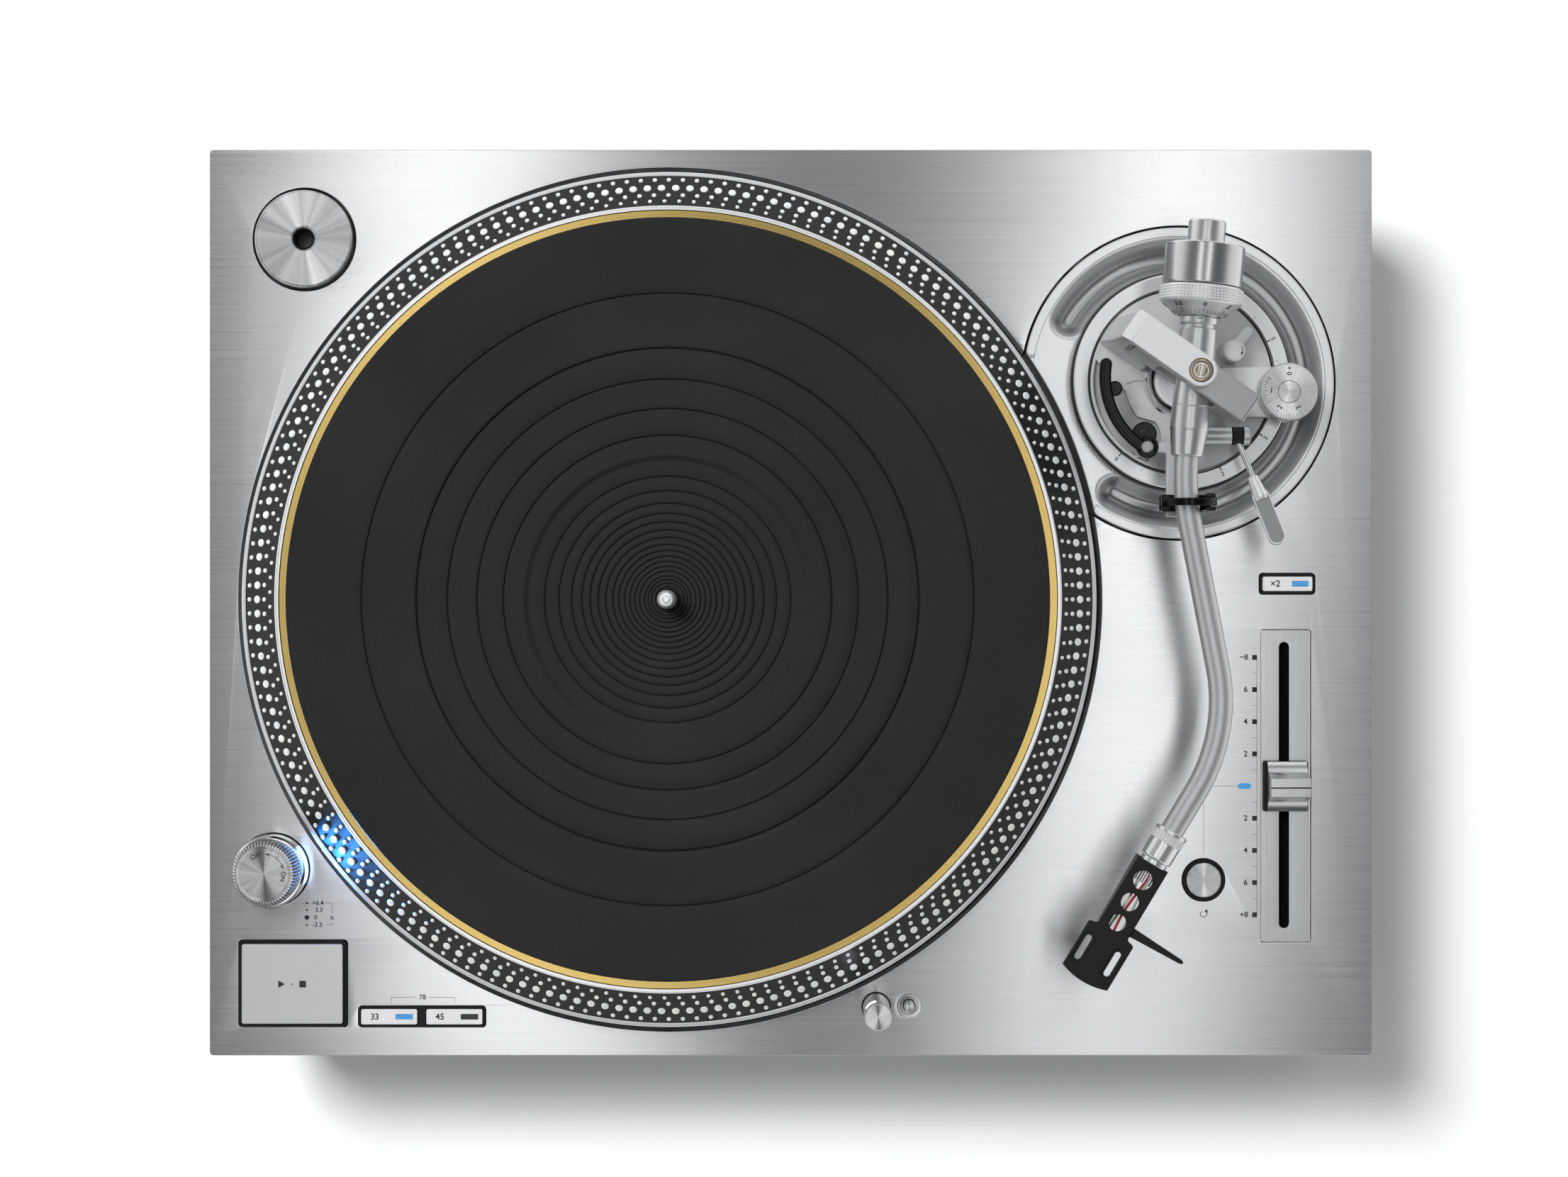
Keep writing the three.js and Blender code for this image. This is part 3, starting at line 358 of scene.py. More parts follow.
# These nodes keep their own meshes and only take a material
for material, hidden in ((copper, ["motor_stator"]), (board, ["power_supply", "control_board"]),
                         (dark_steel, ["bearing_housing", "rotor_magnet", "fader_unit"])):
    for node in hidden:
        nodes[node].data.materials.clear()
        nodes[node].data.materials.append(material)

# ---- Mains inlet and terminals ----
# At the back, the inlet is a black moulded shell round three flat pins, and the signal jacks are gold-plated
# sleeves on a plate with a ground post beside them.


def moulding(place):
    """Moulded plastic: a fine spark-eroded grain."""
    grain = place.noise(2200, 2)
    return {"Roughness": 0.42 + 0.16 * grain, "Normal": grain.bump(0.02)}


black_moulding = finish("black moulding", 0.007, 0.5, pattern=moulding, specular_ior_level=0.35)
gold_plate = finish("gold plate", (0.72, 0.5, 0.2), 0.25, 1,
                    lambda place: {"Roughness": 0.2 + 0.15 * place.noise(700, 2)})
dress("mains_inlet", black_moulding, 0.4)
dress("terminal_panel", gold_plate, 0.2)

# ---- Top plate ----
# A 10 mm aluminium plate covers the whole chassis. It is brushed from side to side, which draws its
# highlights out from front to back, and every opening in it has a thin bright chamfer.

PLATE_WIDTH, PLATE_DEPTH, PLATE_THICKNESS = 453, 353, 10
SPINDLE = (-47, 1.2)
PIVOT = (151, 85.5)
WELL_RADIUS = 168.3
FLANGE_HOLE_RADIUS = 61.4
START_STOP = {"x": -194, "y": -148.4, "width": 42, "depth": 33.4}
SPEED = {"x": -143.7, "y": -161.3, "width": 49.1, "depth": 7.8}
PITCH_RANGE = {"x": 193.5, "y": 7.3, "width": 21.3, "depth": 7.8}
FADER = {"x": 193.1, "y": -71.5, "width": 19.4, "depth": 121.8}
RESET, RESET_RADIUS = (160.9, -108.1), 8.1
LAMP, LAMP_RADIUS = (33.3, -157.4), 5.14
LAMP_BUTTON, LAMP_BUTTON_HOLE = (46.2, -157.3), 4.7
TOWER, TOWER_RADIUS = (-201.7, -103.9), 14
ADAPTOR, ADAPTOR_RADIUS = (-189.6, 141.5), 19


def arc(radius, start, stop, x=0.0, y=0.0, steps=24):
    """Points of (x + r cos a, y + r sin a) from one angle to another, in degrees."""
    a = np.radians(np.linspace(start, stop, steps + 1))
    return np.stack([x + radius * np.cos(a), y + radius * np.sin(a)], -1)


def ring(radius, x=0.0, y=0.0, sides=96):
    """Circle of (x + r cos a, y + r sin a)."""
    a = np.linspace(0, 2 * np.pi, sides, endpoint=False)
    return np.stack([x + radius * np.cos(a), y + radius * np.sin(a)], -1)


def rounded_box(width, depth, radius, x=0.0, y=0.0, steps=6):
    """Rectangle about (x, y) whose corners are quarter circles of that radius."""
    a = np.linspace(0, np.pi / 2, steps + 1)
    quarters = [np.stack([sx * (width / 2 - radius) + radius * np.cos(a + start),
                          sy * (depth / 2 - radius) + radius * np.sin(a + start)], -1)
                for sx, sy, start in ((1, 1, 0), (-1, 1, np.pi / 2), (-1, -1, np.pi), (1, -1, 1.5 * np.pi))]
    return np.concatenate(quarters) + [x, y]


def in_panel(panel, grow=0.0, radius=1.5):
    """Rounded outline of one of the plate's panels, made wider and deeper by that much."""
    return rounded_box(panel["width"] + grow, panel["depth"] + grow, radius, panel["x"], panel["y"])


def curve_part(curve):
    """Points and faces of a curve's mesh. The curve's object isn't kept."""
    source = bpy.data.objects.new("outline", curve)
    mesh = bpy.data.meshes.new_from_object(source)
    bpy.data.objects.remove(source)
    points = np.empty(3 * len(mesh.vertices))
    mesh.vertices.foreach_get("co", points)
    faces = [list(face.vertices) for face in mesh.polygons]
    bpy.data.meshes.remove(mesh)
    return points.reshape(-1, 3), faces


def plate(outlines, bottom, top, edge=0.0, steps=1):
    """Flat plate between two heights from its outline and the outlines of its holes, as a filled curve with
    thickness. All its edges are eased by that much."""
    curve = bpy.data.curves.new("outline", "CURVE")
    curve.dimensions = "2D"
    curve.fill_mode = "BOTH"
    for outline in outlines:
        spline = curve.splines.new("POLY")
        spline.points.add(len(outline) - 1)
        flat = np.zeros((len(outline), 4))
        flat[:, :2] = outline
        flat[:, 3] = 1
        spline.points.foreach_set("co", flat.ravel())
        spline.use_cyclic_u = True
    curve.extrude = (top - bottom) / 2 - edge
    curve.bevel_depth = edge
    curve.bevel_resolution = steps
    curve.offset = -edge
    return moved(curve_part(curve), z=(top + bottom) / 2)


def brushed(along, bright, dark, rough):
    """Brushed metal: long scratches in two sizes along one axis, which change its colour and gloss."""
    def pattern(place):
        fine = place.stretched(*((25, 5200, 40) if along == "x" else (5200, 25, 40))).noise(1, 3, 0.7)
        broad = place.stretched(*((5, 900, 40) if along == "x" else (900, 5, 40))).noise(1, 3, 0.6)
        streak = 0.55 * fine + 0.45 * broad
        return {
            "Base Color": streak.span(0.32, 0.68).greys(dark, bright),
            "Roughness": rough + (0.16 * (streak - 0.5) + 0.05 * (place.noise(9, 2) - 0.5)),
            "Normal": fine.bump(0.006),
        }
    return pattern


# The well and the hole for the arm flange run into each other, so their shared outline is one loop
gap = math.dist(PIVOT, SPINDLE)
towards_pivot = math.degrees(math.atan2(PIVOT[1] - SPINDLE[1], PIVOT[0] - SPINDLE[0]))
well_half, flange_half = (
    math.degrees(math.acos((gap ** 2 + near ** 2 - far ** 2) / (2 * gap * near)))
    for near, far in ((WELL_RADIUS, FLANGE_HOLE_RADIUS), (FLANGE_HOLE_RADIUS, WELL_RADIUS)))
well_and_flange = np.concatenate([
    arc(WELL_RADIUS, towards_pivot + well_half, towards_pivot + 360 - well_half, *SPINDLE, 339),
    arc(FLANGE_HOLE_RADIUS, towards_pivot + 180 + flange_half, towards_pivot + 540 - flange_half,
        *PIVOT, 119)[1:-1]])
plate_holes = [
    well_and_flange, in_panel(START_STOP, 0.6), in_panel(SPEED, 0.6), in_panel(PITCH_RANGE, 0.6),
    in_panel(FADER, 0.2, 1.2), ring(RESET_RADIUS + 0.3, *RESET, 48), ring(LAMP_RADIUS + 0.5, *LAMP, 48),
    ring(LAMP_BUTTON_HOLE, *LAMP_BUTTON, 48), ring(TOWER_RADIUS + 0.3, *TOWER, 64),
    ring(ADAPTOR_RADIUS + 1.15, *ADAPTOR, 80)]
plate_metal = finish("brushed plate", 0.8, 0.29, 0.96, brushed("x", 0.84, 0.7, 0.29), anisotropic=0.9)
top_plate = piece("top_plate_brushed", [plate(
    [rounded_box(PLATE_WIDTH, PLATE_DEPTH, 1.6)] + plate_holes, -PLATE_THICKNESS, 0, 0.25)],
    plate_metal, "player", ["top_plate"])
# Brushing runs along X: with its texture space far off to the side, the metal's grain has one direction
top_plate.data.use_auto_texspace = False
top_plate.data.texspace_location = (-1000, 0, 0)
top_plate.data.texspace_size = (1, 1, 1)

# The cone round the lamp's button and the floor of the adaptor's recess
recess_metal = finish("machined recess", 0.8, 0.28, 0.6, cast_grain(0.86, 0.7, 0.28, 0.01))
cone = [(LAMP_BUTTON_HOLE, -0.15), (4.5, -1.1), (3.7, -1.5), (3.35, -2.6), (2.6, -3.2),
        (2.6, -PLATE_THICKNESS), (LAMP_BUTTON_HOLE, -PLATE_THICKNESS)]
piece("lamp_button_cone", [turned(cone, 48, LAMP_BUTTON, closed=True)], recess_metal, "player")
recess_floor = finish("recess felt", 0.04, 0.5, pattern=lambda place: {
    "Base Color": place.noise(700, 3).greys(0.02, 0.06), "Roughness": 0.4 + 0.3 * place.noise(300, 2)})
piece("adaptor_recess", [turned([(0, -6), (20.15, -6), (20.15, -9), (0, -9)], 80, ADAPTOR)], recess_floor,
      "player")

# ---- Platter ----
# The heavy platter is turned aluminium, blackened on its sloping edge, with a bright rim and lip. Four rings
# of raised bright dots on the slope stand still under the strobe light at four different speeds.

SLOPE_FOOT, SLOPE_HEAD = (163.6, 9.7), (150.7, 18.4)


def blackened(place):
    """Black paint with fine turning lines and a dusty sheen."""
    line = place.about(*SPINDLE)[1].lines(3000, 2, 0.5)
    return {"Base Color": line.greys(0.003, 0.01), "Roughness": 0.28 + 0.16 * line}


def lathed(x, y, bright, dark, rough):
    """Turned metal: fine circles about (x, y) that change its colour and gloss."""
    def pattern(place):
        centred, radius = place.about(x, y)
        line = radius.lines(2600, second=0.02 * centred.axis(2))
        return {"Base Color": line.span(0.3, 0.7).greys(dark, bright),
                "Roughness": rough + 0.14 * (line - 0.5), "Normal": line.bump(0.004)}
    return pattern


platter_black = finish("blackened slope", 0.006, 0.35, pattern=blackened, coat_weight=0.25,
                       coat_roughness=0.2, specular_ior_level=0.35)
rim_metal = finish("turned rim", 0.86, 0.28, 0.75, lathed(*SPINDLE, 0.92, 0.8, 0.28))
body_side = [(4, 15.8), (149.5, 15.8), (149.5, 18.4), SLOPE_HEAD, SLOPE_FOOT, (165.1, 9), (165.1, -6),
             (147, -6), (140, 6), (16, 6), (16, -15), (4, -15)]
rim_side = [(163.5, 9.82), (163.9, 10.0), (165.1, 9.4), (165.28, 8.8), (165.28, 7.2), (165.0, 7.0),
            (164.9, 9.0)]
lip_side = [(149.35, 18.3), (149.35, 18.75), (150.5, 18.75), (151.0, 18.4), (150.7, 18.2)]
piece("platter_body", [turned(body_side, 288, SPINDLE, 0.12, True, 2)], platter_black, "platter",
      ["platter"], angle=50)
piece("platter_rim", [turned(rim_side, 288, SPINDLE, 0.1, True, 2)], rim_metal, "platter")
piece("platter_lip", [turned(lip_side, 288, SPINDLE, 0.12, True, 2)], rim_metal, "platter")


def dot_grid(count, orbit, size):
    """Raised dots on the slope: each is a turned cap, tilted to the slope and repeated round the spindle."""
    cap = np.array([(1.08, 0), (1.0, 0.32), (0.84, 0.42), (0, 0.46)]) * [size, 1]
    cap_points, cap_faces = turned(cap, 12)
    slope = math.atan2(SLOPE_FOOT[1] - SLOPE_HEAD[1], SLOPE_FOOT[0] - SLOPE_HEAD[0])
    c, s = math.cos(slope), math.sin(slope)
    outward, across, up = cap_points.T
    height = SLOPE_FOOT[1] + (orbit - SLOPE_FOOT[0]) * math.tan(slope)
    r = orbit + outward * c - up * s
    z = height + outward * s + up * c
    a = np.linspace(0, 2 * np.pi, count, endpoint=False)[:, None] + across[None, :] / orbit
    points = np.stack([r * np.cos(a), r * np.sin(a), z + 0 * a], -1).reshape(-1, 3)
    faces = cap_faces[None] + len(cap_points) * np.arange(count)[:, None, None]
    return moved((points, faces.reshape(-1, 4)), *SPINDLE)


def blasted_dots(place):
    """Bare cast metal left by drilling: each dot is a little lighter or darker and warmer or cooler."""
    return {"Base Color": place.noise(120, 2).span(0.3, 0.7).mix((0.78, 0.8, 0.82, 1), (0.95, 0.94, 0.91, 1)),
            "Roughness": 0.34 + 0.16 * place.noise(900, 2)}


dot_metal = finish("bright dots", 0.9, 0.4, 0.45, blasted_dots)
dot_rings = [(188, 161.8, 0.84), (182, 158.4, 1.42), (176, 155.3, 0.84), (171, 152.75, 0.72)]
for number, (count, orbit, size) in enumerate(dot_rings):
    piece(f"platter_dots_{number + 1}", [dot_grid(count, orbit, size)], dot_metal, "platter",
          angle=60)

# ---- Brass plate ----
# A turned brass disc is screwed onto the platter to add mass and to damp it. Only its polished gold edge
# shows round the mat.


def brass_lines(place):
    """Turned brass: circles about the spindle with warm and pale bands."""
    line = place.about(*SPINDLE)[1].lines(1800)
    return {"Base Color": line.span(0.3, 0.7).mix((0.60, 0.40, 0.10, 1), (0.86, 0.66, 0.26, 1)),
            "Roughness": 0.2 + 0.12 * line, "Normal": line.bump(0.004)}


brass = finish("turned brass", (0.75, 0.55, 0.2), 0.26, 1, brass_lines)
disc_side = [(4, 16.1), (149.2, 16.1), (149.2, 18.1), (4, 18.1)]
piece("brass_disc", [turned(disc_side, 288, SPINDLE, 0.15, True, 2)],
      brass, "platter", ["brass_plate"])

# ---- Mat ----
# The moulded rubber mat has a sunken middle for the record's label. Rings of shallow grooves crowd together
# towards the spindle, and each has a low rounded lip.

MAT_RADIUS, MAT_TOP, LABEL_DROP = 146.2, 21.4, 1.5
WIDE_GROOVE = 96.1
grooves = np.array([4.7, 6.2, 7.5, 8.9, 10.8, 12.6, 14.5, 16.5, 18.7, 21, 23.7, 26.6, 29.7, 32.9, 36.8, 41.6,
                    47.1, 62.8, 72.9, 84.2, WIDE_GROOVE, 117.1])
groove_depth = np.where(grooves == WIDE_GROOVE, 1.1, np.where(grooves > 60, 0.8, 0.7))
groove_width = np.where(grooves == WIDE_GROOVE, 0.34, np.where(grooves > 60, 0.22, 0.2))


def mat_height(r):
    """Height of the mat at a radius: its flat top, less the label's step as a smooth ramp, less a bell-shaped
    groove at each ring."""
    t = np.clip((r - 52.9) / 2.6, 0, 1)
    bells = groove_depth * np.exp(-((r[:, None] - grooves) / groove_width) ** 2)
    return MAT_TOP - LABEL_DROP * (1 - t * t * (3 - 2 * t)) - bells.sum(1)


# Radii crowd at the grooves, where the height changes quickly
steps = np.array([-2.2, -1.3, -0.8, -0.4, 0, 0.4, 0.8, 1.3, 2.2])
radii = np.concatenate([(grooves[:, None] + groove_width[:, None] * steps).ravel(),
                        np.linspace(52.6, 55.8, 12), np.linspace(60, 145, 12)])
radii = np.unique(np.round(radii[(radii > 4.1) & (radii < 145.2)], 3))
mat_edge = [(145.3, MAT_TOP), (MAT_RADIUS, MAT_TOP - 0.1), (MAT_RADIUS, 18.4)]
mat_side = np.concatenate([[(4, 18.4), (4, 20.3)], np.stack([radii, mat_height(radii)], -1),
                           eased(mat_edge, 0.7, closed=False, steps=4)])


def mat_rubber(place):
    """Moulded rubber: a fine even stipple, faint mottling and a dull bloom."""
    stipple = place.noise(1300, 3, 0.7)
    return {
        "Base Color": (0.5 * stipple + 0.5 * place.noise(14, 3)).span(0.3, 0.7).greys(0.012, 0.022),
        "Roughness": 0.4 + 0.14 * stipple,
        "Normal": stipple.bump(0.08),
    }


rubber_mat = finish("mat rubber", 0.02, 0.45, pattern=mat_rubber, specular_ior_level=0.16)
piece("mat_grooved", [turned(mat_side, 256, SPINDLE, closed=True)], rubber_mat, "platter",
      ["platter_mat"], angle=60, flat=False)

# ---- Spindle ----
# A polished steel pin with a rounded nose centres the record. It stands in the hub under the mat and turns
# with the platter.

polished = finish("polished steel", 0.95, 0.25, 0.65, lambda place: {
    "Roughness": 0.18 + 0.16 * place.noise(300, 2), "Normal": place.noise(500, 2).bump(0.15)})
a = np.linspace(0, np.pi / 2, 12)
nose = np.stack([3.6 * np.cos(a) ** 0.8, 32.6 + 5 * np.sin(a)], -1)
piece("spindle_pin", [turned(np.concatenate([[(0, -45.6), (3.4, -45), (3.6, -44.4)], nose]), 40, SPINDLE)],
      polished, "platter", ["spindle"])

# ---- Start and stop key ----
# A large bead-blasted aluminium key moves in a black moulded frame that stands a little above the plate. Its
# signs are printed on its face.


def blasted(bright, dark, rough):
    """Bead-blasted metal: an even, very fine grain."""
    def pattern(place):
        grain = place.noise(4200, 2, 0.6)
        return {
            "Base Color": grain.span(0.25, 0.75).greys(dark, bright),
            "Roughness": rough + 0.1 * (grain - 0.5) + 0.06 * (place.noise(70, 2) - 0.5),
            "Normal": grain.bump(0.012),
        }
    return pattern


def sign(text, size, x, y, z, turn=0.0):
    """Printed text centred on a point, its capitals about 0.7 of that size. It is the mesh of a text curve,
    0.06 mm thick and half sunk into the surface at z."""
    curve = bpy.data.curves.new("sign", "FONT")
    curve.body = text
    curve.size = size
    curve.align_x, curve.align_y = "CENTER", "CENTER"
    curve.resolution_u = 3
    curve.offset = 0.018 * size
    curve.extrude = 0.03
    return moved(curve_part(curve), x, y, z, turn)


def ribbon(path, width, bottom, top, closed=False):
    """Band along a path of (x, y), between two heights. Each point is moved half the width to both sides,
    square to the mean of its two edges' directions and mitred by 1 / cos of half their angle."""
    path = np.asarray(path, float)
    ahead = np.roll(path, -1, 0) - path
    if not closed:
        ahead[-1] = ahead[-2]
    ahead /= np.linalg.norm(ahead, axis=1, keepdims=True)
    behind = np.roll(ahead, 1, 0)
    if not closed:
        behind[0] = ahead[0]
    mean = ahead + behind
    mean /= np.linalg.norm(mean, axis=1, keepdims=True)
    side = np.stack([-mean[:, 1], mean[:, 0]], -1) * width / 2 / (mean * ahead).sum(1, keepdims=True)
    points = np.zeros((len(path), 4, 3))
    points[:, (0, 3), :2] = (path + side)[:, None]
    points[:, (1, 2), :2] = (path - side)[:, None]
    points[:, :2, 2] = bottom
    points[:, 2:, 2] = top
    faces = quads(len(path), 4, closed)
    if not closed:
        end = 4 * len(path)
        faces = np.vstack([faces, [[0, 1, 2, 3], [end - 1, end - 2, end - 3, end - 4]]])
    return points.reshape(-1, 3), faces


def printed(path, width, z, closed=False):
    """Printed line on a surface at z."""
    return ribbon(path, width, z - 0.03, z + 0.03, closed)


def filled(outline, z):
    """Printed patch with that outline on a surface at z."""
    return plate([outline], z - 0.03, z + 0.03)


def ink_coat(place):
    """Screen-printed ink: slightly uneven and dull."""
    return {"Roughness": 0.5 + 0.2 * place.noise(900, 2),
            "Base Color": place.noise(400, 2).greys(0.012, 0.03)}


satin_key = finish("satin key", 0.84, 0.36, 0.55, blasted(0.88, 0.8, 0.36))
broad_key = finish("satin broad key", 0.62, 0.36, 0.6, blasted(0.66, 0.58, 0.36))
ink = finish("black ink", 0.02, 0.6, pattern=ink_coat)
KEY_BOTTOM, FRAME_BOTTOM = -8.1, -10
x, y, key_top = START_STOP["x"], START_STOP["y"], 2.0
surround = [in_panel(START_STOP), rounded_box(40, 31.7, 1.1, x, y)]
piece("start_stop_surround", [plate(surround, FRAME_BOTTOM, 0.6, 0.25, 2)], black_moulding, "player",
      ["start_stop_frame"])
piece("start_stop_key", [plate([rounded_box(39.3, 31, 0.9, x, y)], KEY_BOTTOM, key_top, 0.4, 3)], broad_key,
      "start_stop_button", ["start_stop_button"])
# A triangle, a dot and a square, as on any player
triangle = np.array([(-5.4, -1.5), (-2.8, 0), (-5.4, 1.5)]) + [x, y]
square = np.array([(2.8, -1.3), (5.4, -1.3), (5.4, 1.3), (2.8, 1.3)]) + [x, y]
piece("start_stop_sign", [filled(outline, key_top) for outline in (triangle, ring(0.32, x, y, 16), square)],
      ink, "start_stop_button")

# ---- Speed keys ----
# Two small keys share one black frame. Each has its speed printed at its left and a lamp window at its
# right; the 33 is lit blue and the 45 is dark. A printed bracket joins them for a third speed.


def lit(place):
    """Diffusing window over a blue lamp: bright in the middle with the grain of the moulding."""
    grain = place.noise(1500, 2)
    return {"Emission Color": grain.span(0.3, 0.7).mix((0.03, 0.24, 0.56, 1), (0.09, 0.38, 0.74, 1)),
            "Roughness": 0.3 + 0.2 * grain}


def dark_window(place):
    """The same window with its lamp off: smoked plastic."""
    return {"Roughness": 0.2 + 0.2 * place.noise(1200, 2),
            "Base Color": place.noise(300).mix((0.012, 0.012, 0.016, 1), (0.025, 0.025, 0.035, 1))}


lamp_blue = finish("lit blue window", (0.01, 0.03, 0.06), 0.35, pattern=lit, emission_strength=0.9)
lamp_dark = finish("dark window", (0.02, 0.02, 0.025), 0.3, pattern=dark_window)


def small_key(name, body, x, y, size, lamp_x, lamp_width):
    """Key of (width, depth) with an opening for its lamp's window in its right half."""
    outline, opening = rounded_box(*size, 0.7, x, y), rounded_box(lamp_width + 0.2, 2, 0.3, x + lamp_x, y)
    piece(name + "_key", [plate([outline, opening], KEY_BOTTOM, 1, 0.25, 3)], satin_key, body,
          [body])


def key_window(name, body, x, y, width, window):
    """Window of a key's lamp, a hair above the key."""
    piece(name + "_window", [plate([rounded_box(width, 1.8, 0.25, x, y)], -1, 1.02, 0.1)], window, body)


def key_frame(name, panel, openings, replaced):
    """Black frame of a row of small keys."""
    piece(name, [plate([in_panel(panel)] + openings, FRAME_BOTTOM, 0.4, 0.2, 2)], black_moulding, "player",
          [replaced])


SPEED_OFFSET = 12.7
y = SPEED["y"]
key_frame("speed_surround", SPEED, [rounded_box(22.5, 6.6, 1, SPEED["x"] + side * SPEED_OFFSET, y)
                                    for side in (-1, 1)], "speed_frame")
for speed, side, window in (("33", -1, lamp_blue), ("45", 1, lamp_dark)):
    x, body = SPEED["x"] + side * SPEED_OFFSET, f"speed_{speed}_button"
    small_key(body, body, x, y, (21.9, 6), 5.9, 6.4)
    piece(body + "_number", [sign(speed, 3.4, x - 5.6, y, 1)], ink, body)
    key_window(body, body, x + 5.9, y, 6.4, window)

THIN = 0.14
left, right, foot, level = -155.7, -130.9, -156.1, -153.8
piece("third_speed_bracket", [
    printed([(left, foot), (left, level), (-145.9, level)], THIN, 0),
    printed([(-141.2, level), (right, level), (right, foot)], THIN, 0),
    sign("78", 2.7, -143.5, level, 0)], ink, "player")

# ---- Pitch range key ----
# A key doubles the range of the pitch fader. It is built as the speed keys are: a blasted aluminium cap in a
# black moulded frame, with a lit window.

x, y = PITCH_RANGE["x"], PITCH_RANGE["y"]
key_frame("pitch_range_surround", PITCH_RANGE, [rounded_box(20, 6.3, 1, x, y)], "pitch_range_frame")
small_key("pitch_range", "pitch_range_button", x, y, (19.4, 5.7), 5, 6.2)
key_window("pitch_range", "pitch_range_button", x + 5, y, 6.2, lamp_blue)
piece("pitch_range_sign", [sign("×2", 3.6, x - 4.8, y, 1)], ink, "pitch_range_button")

# ---- Reset button ----
# A round spun button in a black ring returns the speed to its nominal value. A fine printed line leads from
# it to the middle of the fader's scale.


def spun_metal(name, at, bright=0.86, dark=0.68, rough=0.3):
    """Metal with a spun face: circles about a point, crossed by broad lighter and darker fans, a painted
    sheen in place of its radial highlights.
    """
    def pattern(place):
        centred, radius = place.about(*at)
        line = radius.lines(4200)
        sheen_fan = (centred.axis(0) / radius).lines(2.6, 3, 0.6, centred.axis(1) / radius)
        return {
            # Painted sheen: the fans set most of the colour
            "Base Color": (0.25 * line + 0.75 * sheen_fan).span(0.36, 0.62).greys(dark, bright),
            "Roughness": rough + 0.12 * (line - 0.5) + 0.1 * (sheen_fan - 0.5),
            "Normal": line.bump(0.003),
        }
    return finish(name, 0.78, rough, 1, pattern, anisotropic=1.0, anisotropic_rotation=0.25)


x, y = RESET
surround = [(7.1, FRAME_BOTTOM), (RESET_RADIUS, FRAME_BOTTOM), (RESET_RADIUS, 0.5), (7.1, 0.5)]
face_side = [(0, KEY_BOTTOM), (6.8, KEY_BOTTOM), (6.8, 0.6), (6.4, 0.95), (3, 0.82), (0, 0.8)]
piece("reset_surround", [turned(surround, 72, RESET, 0.2, True)], black_moulding, "player",
      ["reset_ring"])
piece("reset_face", [turned(face_side, 72, RESET, 0.25)], spun_metal("spun reset button", RESET),
      "reset_button", ["reset_button"])
piece("reset_line", [
    printed([(x, y + 10.6), (x, FADER["y"]), (174.2, FADER["y"])], THIN, 0),
    # A ring arrow stands for going back to zero
    printed(arc(1.25, 130, 410, x, y - 13.2, 20), 0.26, 0),
    filled([(x + 0.2, y - 12.0), (x + 1.5, y - 11.5), (x + 1.6, y - 12.9)], 0)], ink, "player")

# ---- Stylus lamp ----
# A turned tube rises from a black ring when its button is pressed, and lights the record from a window in
# its side. It sinks again by hand.


def glowing(place):
    """Lens over a white lamp, a little bluer at the grain of its frosting."""
    return {"Emission Color": place.noise(900, 2).mix((0.85, 0.93, 1, 1), (1, 1, 1, 1))}


lens = finish("lit lens", (0.9, 0.95, 1), 0.2, pattern=glowing, emission_strength=4)
lamp_side = [(0, -16), (LAMP_RADIUS, -16), (LAMP_RADIUS, 17), (5.0, 17.3), (LAMP_RADIUS, 17.6),
             (LAMP_RADIUS, 28.6), (4.85, 29), (0, 28.95)]
piece("stylus_lamp_tube", [turned(lamp_side, 72, LAMP, 0.15)],
      spun_metal("spun lamp", LAMP, 0.94, 0.78, 0.28), "stylus_lamp", ["stylus_lamp"])
piece("stylus_lamp_ring", [turned([(5.3, -10), (5.75, -10), (5.75, 0.15), (5.3, 0.15)], 64, LAMP, 0.1, True)],
      black_moulding, "player")
window_face = np.concatenate([arc(5.2, 98, 152, *LAMP, 10), arc(4.9, 152, 98, *LAMP, 10)])
piece("stylus_lamp_window", [plate([window_face], 20, 24, 0.05)], lens, "stylus_lamp")
piece("lamp_button_head", [
    turned([(0, -9), (2.1, -9), (2.1, 0), (1.7, 0.5), (0, 0.35)], 40, LAMP_BUTTON, 0.15),
    turned([(1.15, 0.3), (1.35, 0.62), (1.6, 0.3)], 40, LAMP_BUTTON, 0.08, True)],
    spun_metal("spun lamp button", LAMP_BUTTON, 0.8, 0.6, 0.25), "lamp_button", ["lamp_button"])

# ---- Strobe tower and power knob ----
# A polished turned tower holds the strobe lamp, whose window faces the platter's dots. The power switch is
# the fluted knob on top of it.

x, y = TOWER
WINDOW_FROM, WINDOW_TO = -21, 42
KNOB_FLUTES = 60


def notched(profile, inner_radius, bottom, top, start, stop, sides=144):
    """Surface of revolution whose side between two heights steps in to a smaller radius between two angles,
    in degrees: r = inner there, and the profile's own radius elsewhere."""
    profile = np.asarray(profile, float)
    a = np.linspace(0, 2 * np.pi, sides, endpoint=False)
    degrees = (np.degrees(a) + 180) % 360 - 180
    inside = (degrees > start) & (degrees < stop)
    r = np.repeat(profile[:, :1], sides, 1)
    level = (profile[:, 1] > bottom) & (profile[:, 1] < top) & (profile[:, 0] > inner_radius)
    r[np.ix_(level, inside)] = inner_radius
    points = np.stack([r * np.cos(a), r * np.sin(a), np.repeat(profile[:, 1:], sides, 1)], -1)
    return points.reshape(-1, 3), quads(len(profile), sides)


def strobe_light(place):
    """Frosted window over the strobe lamps: white, with blue towards its upper and lower edge."""
    off = place.axis(2) - (DECK * MM + 0.0055)
    edge = place.maths("ABSOLUTE", off).span(0.0022, 0.0038)
    return {"Emission Color": edge.mix((0.75, 0.9, 1, 1), (0.1, 0.4, 1, 1))}


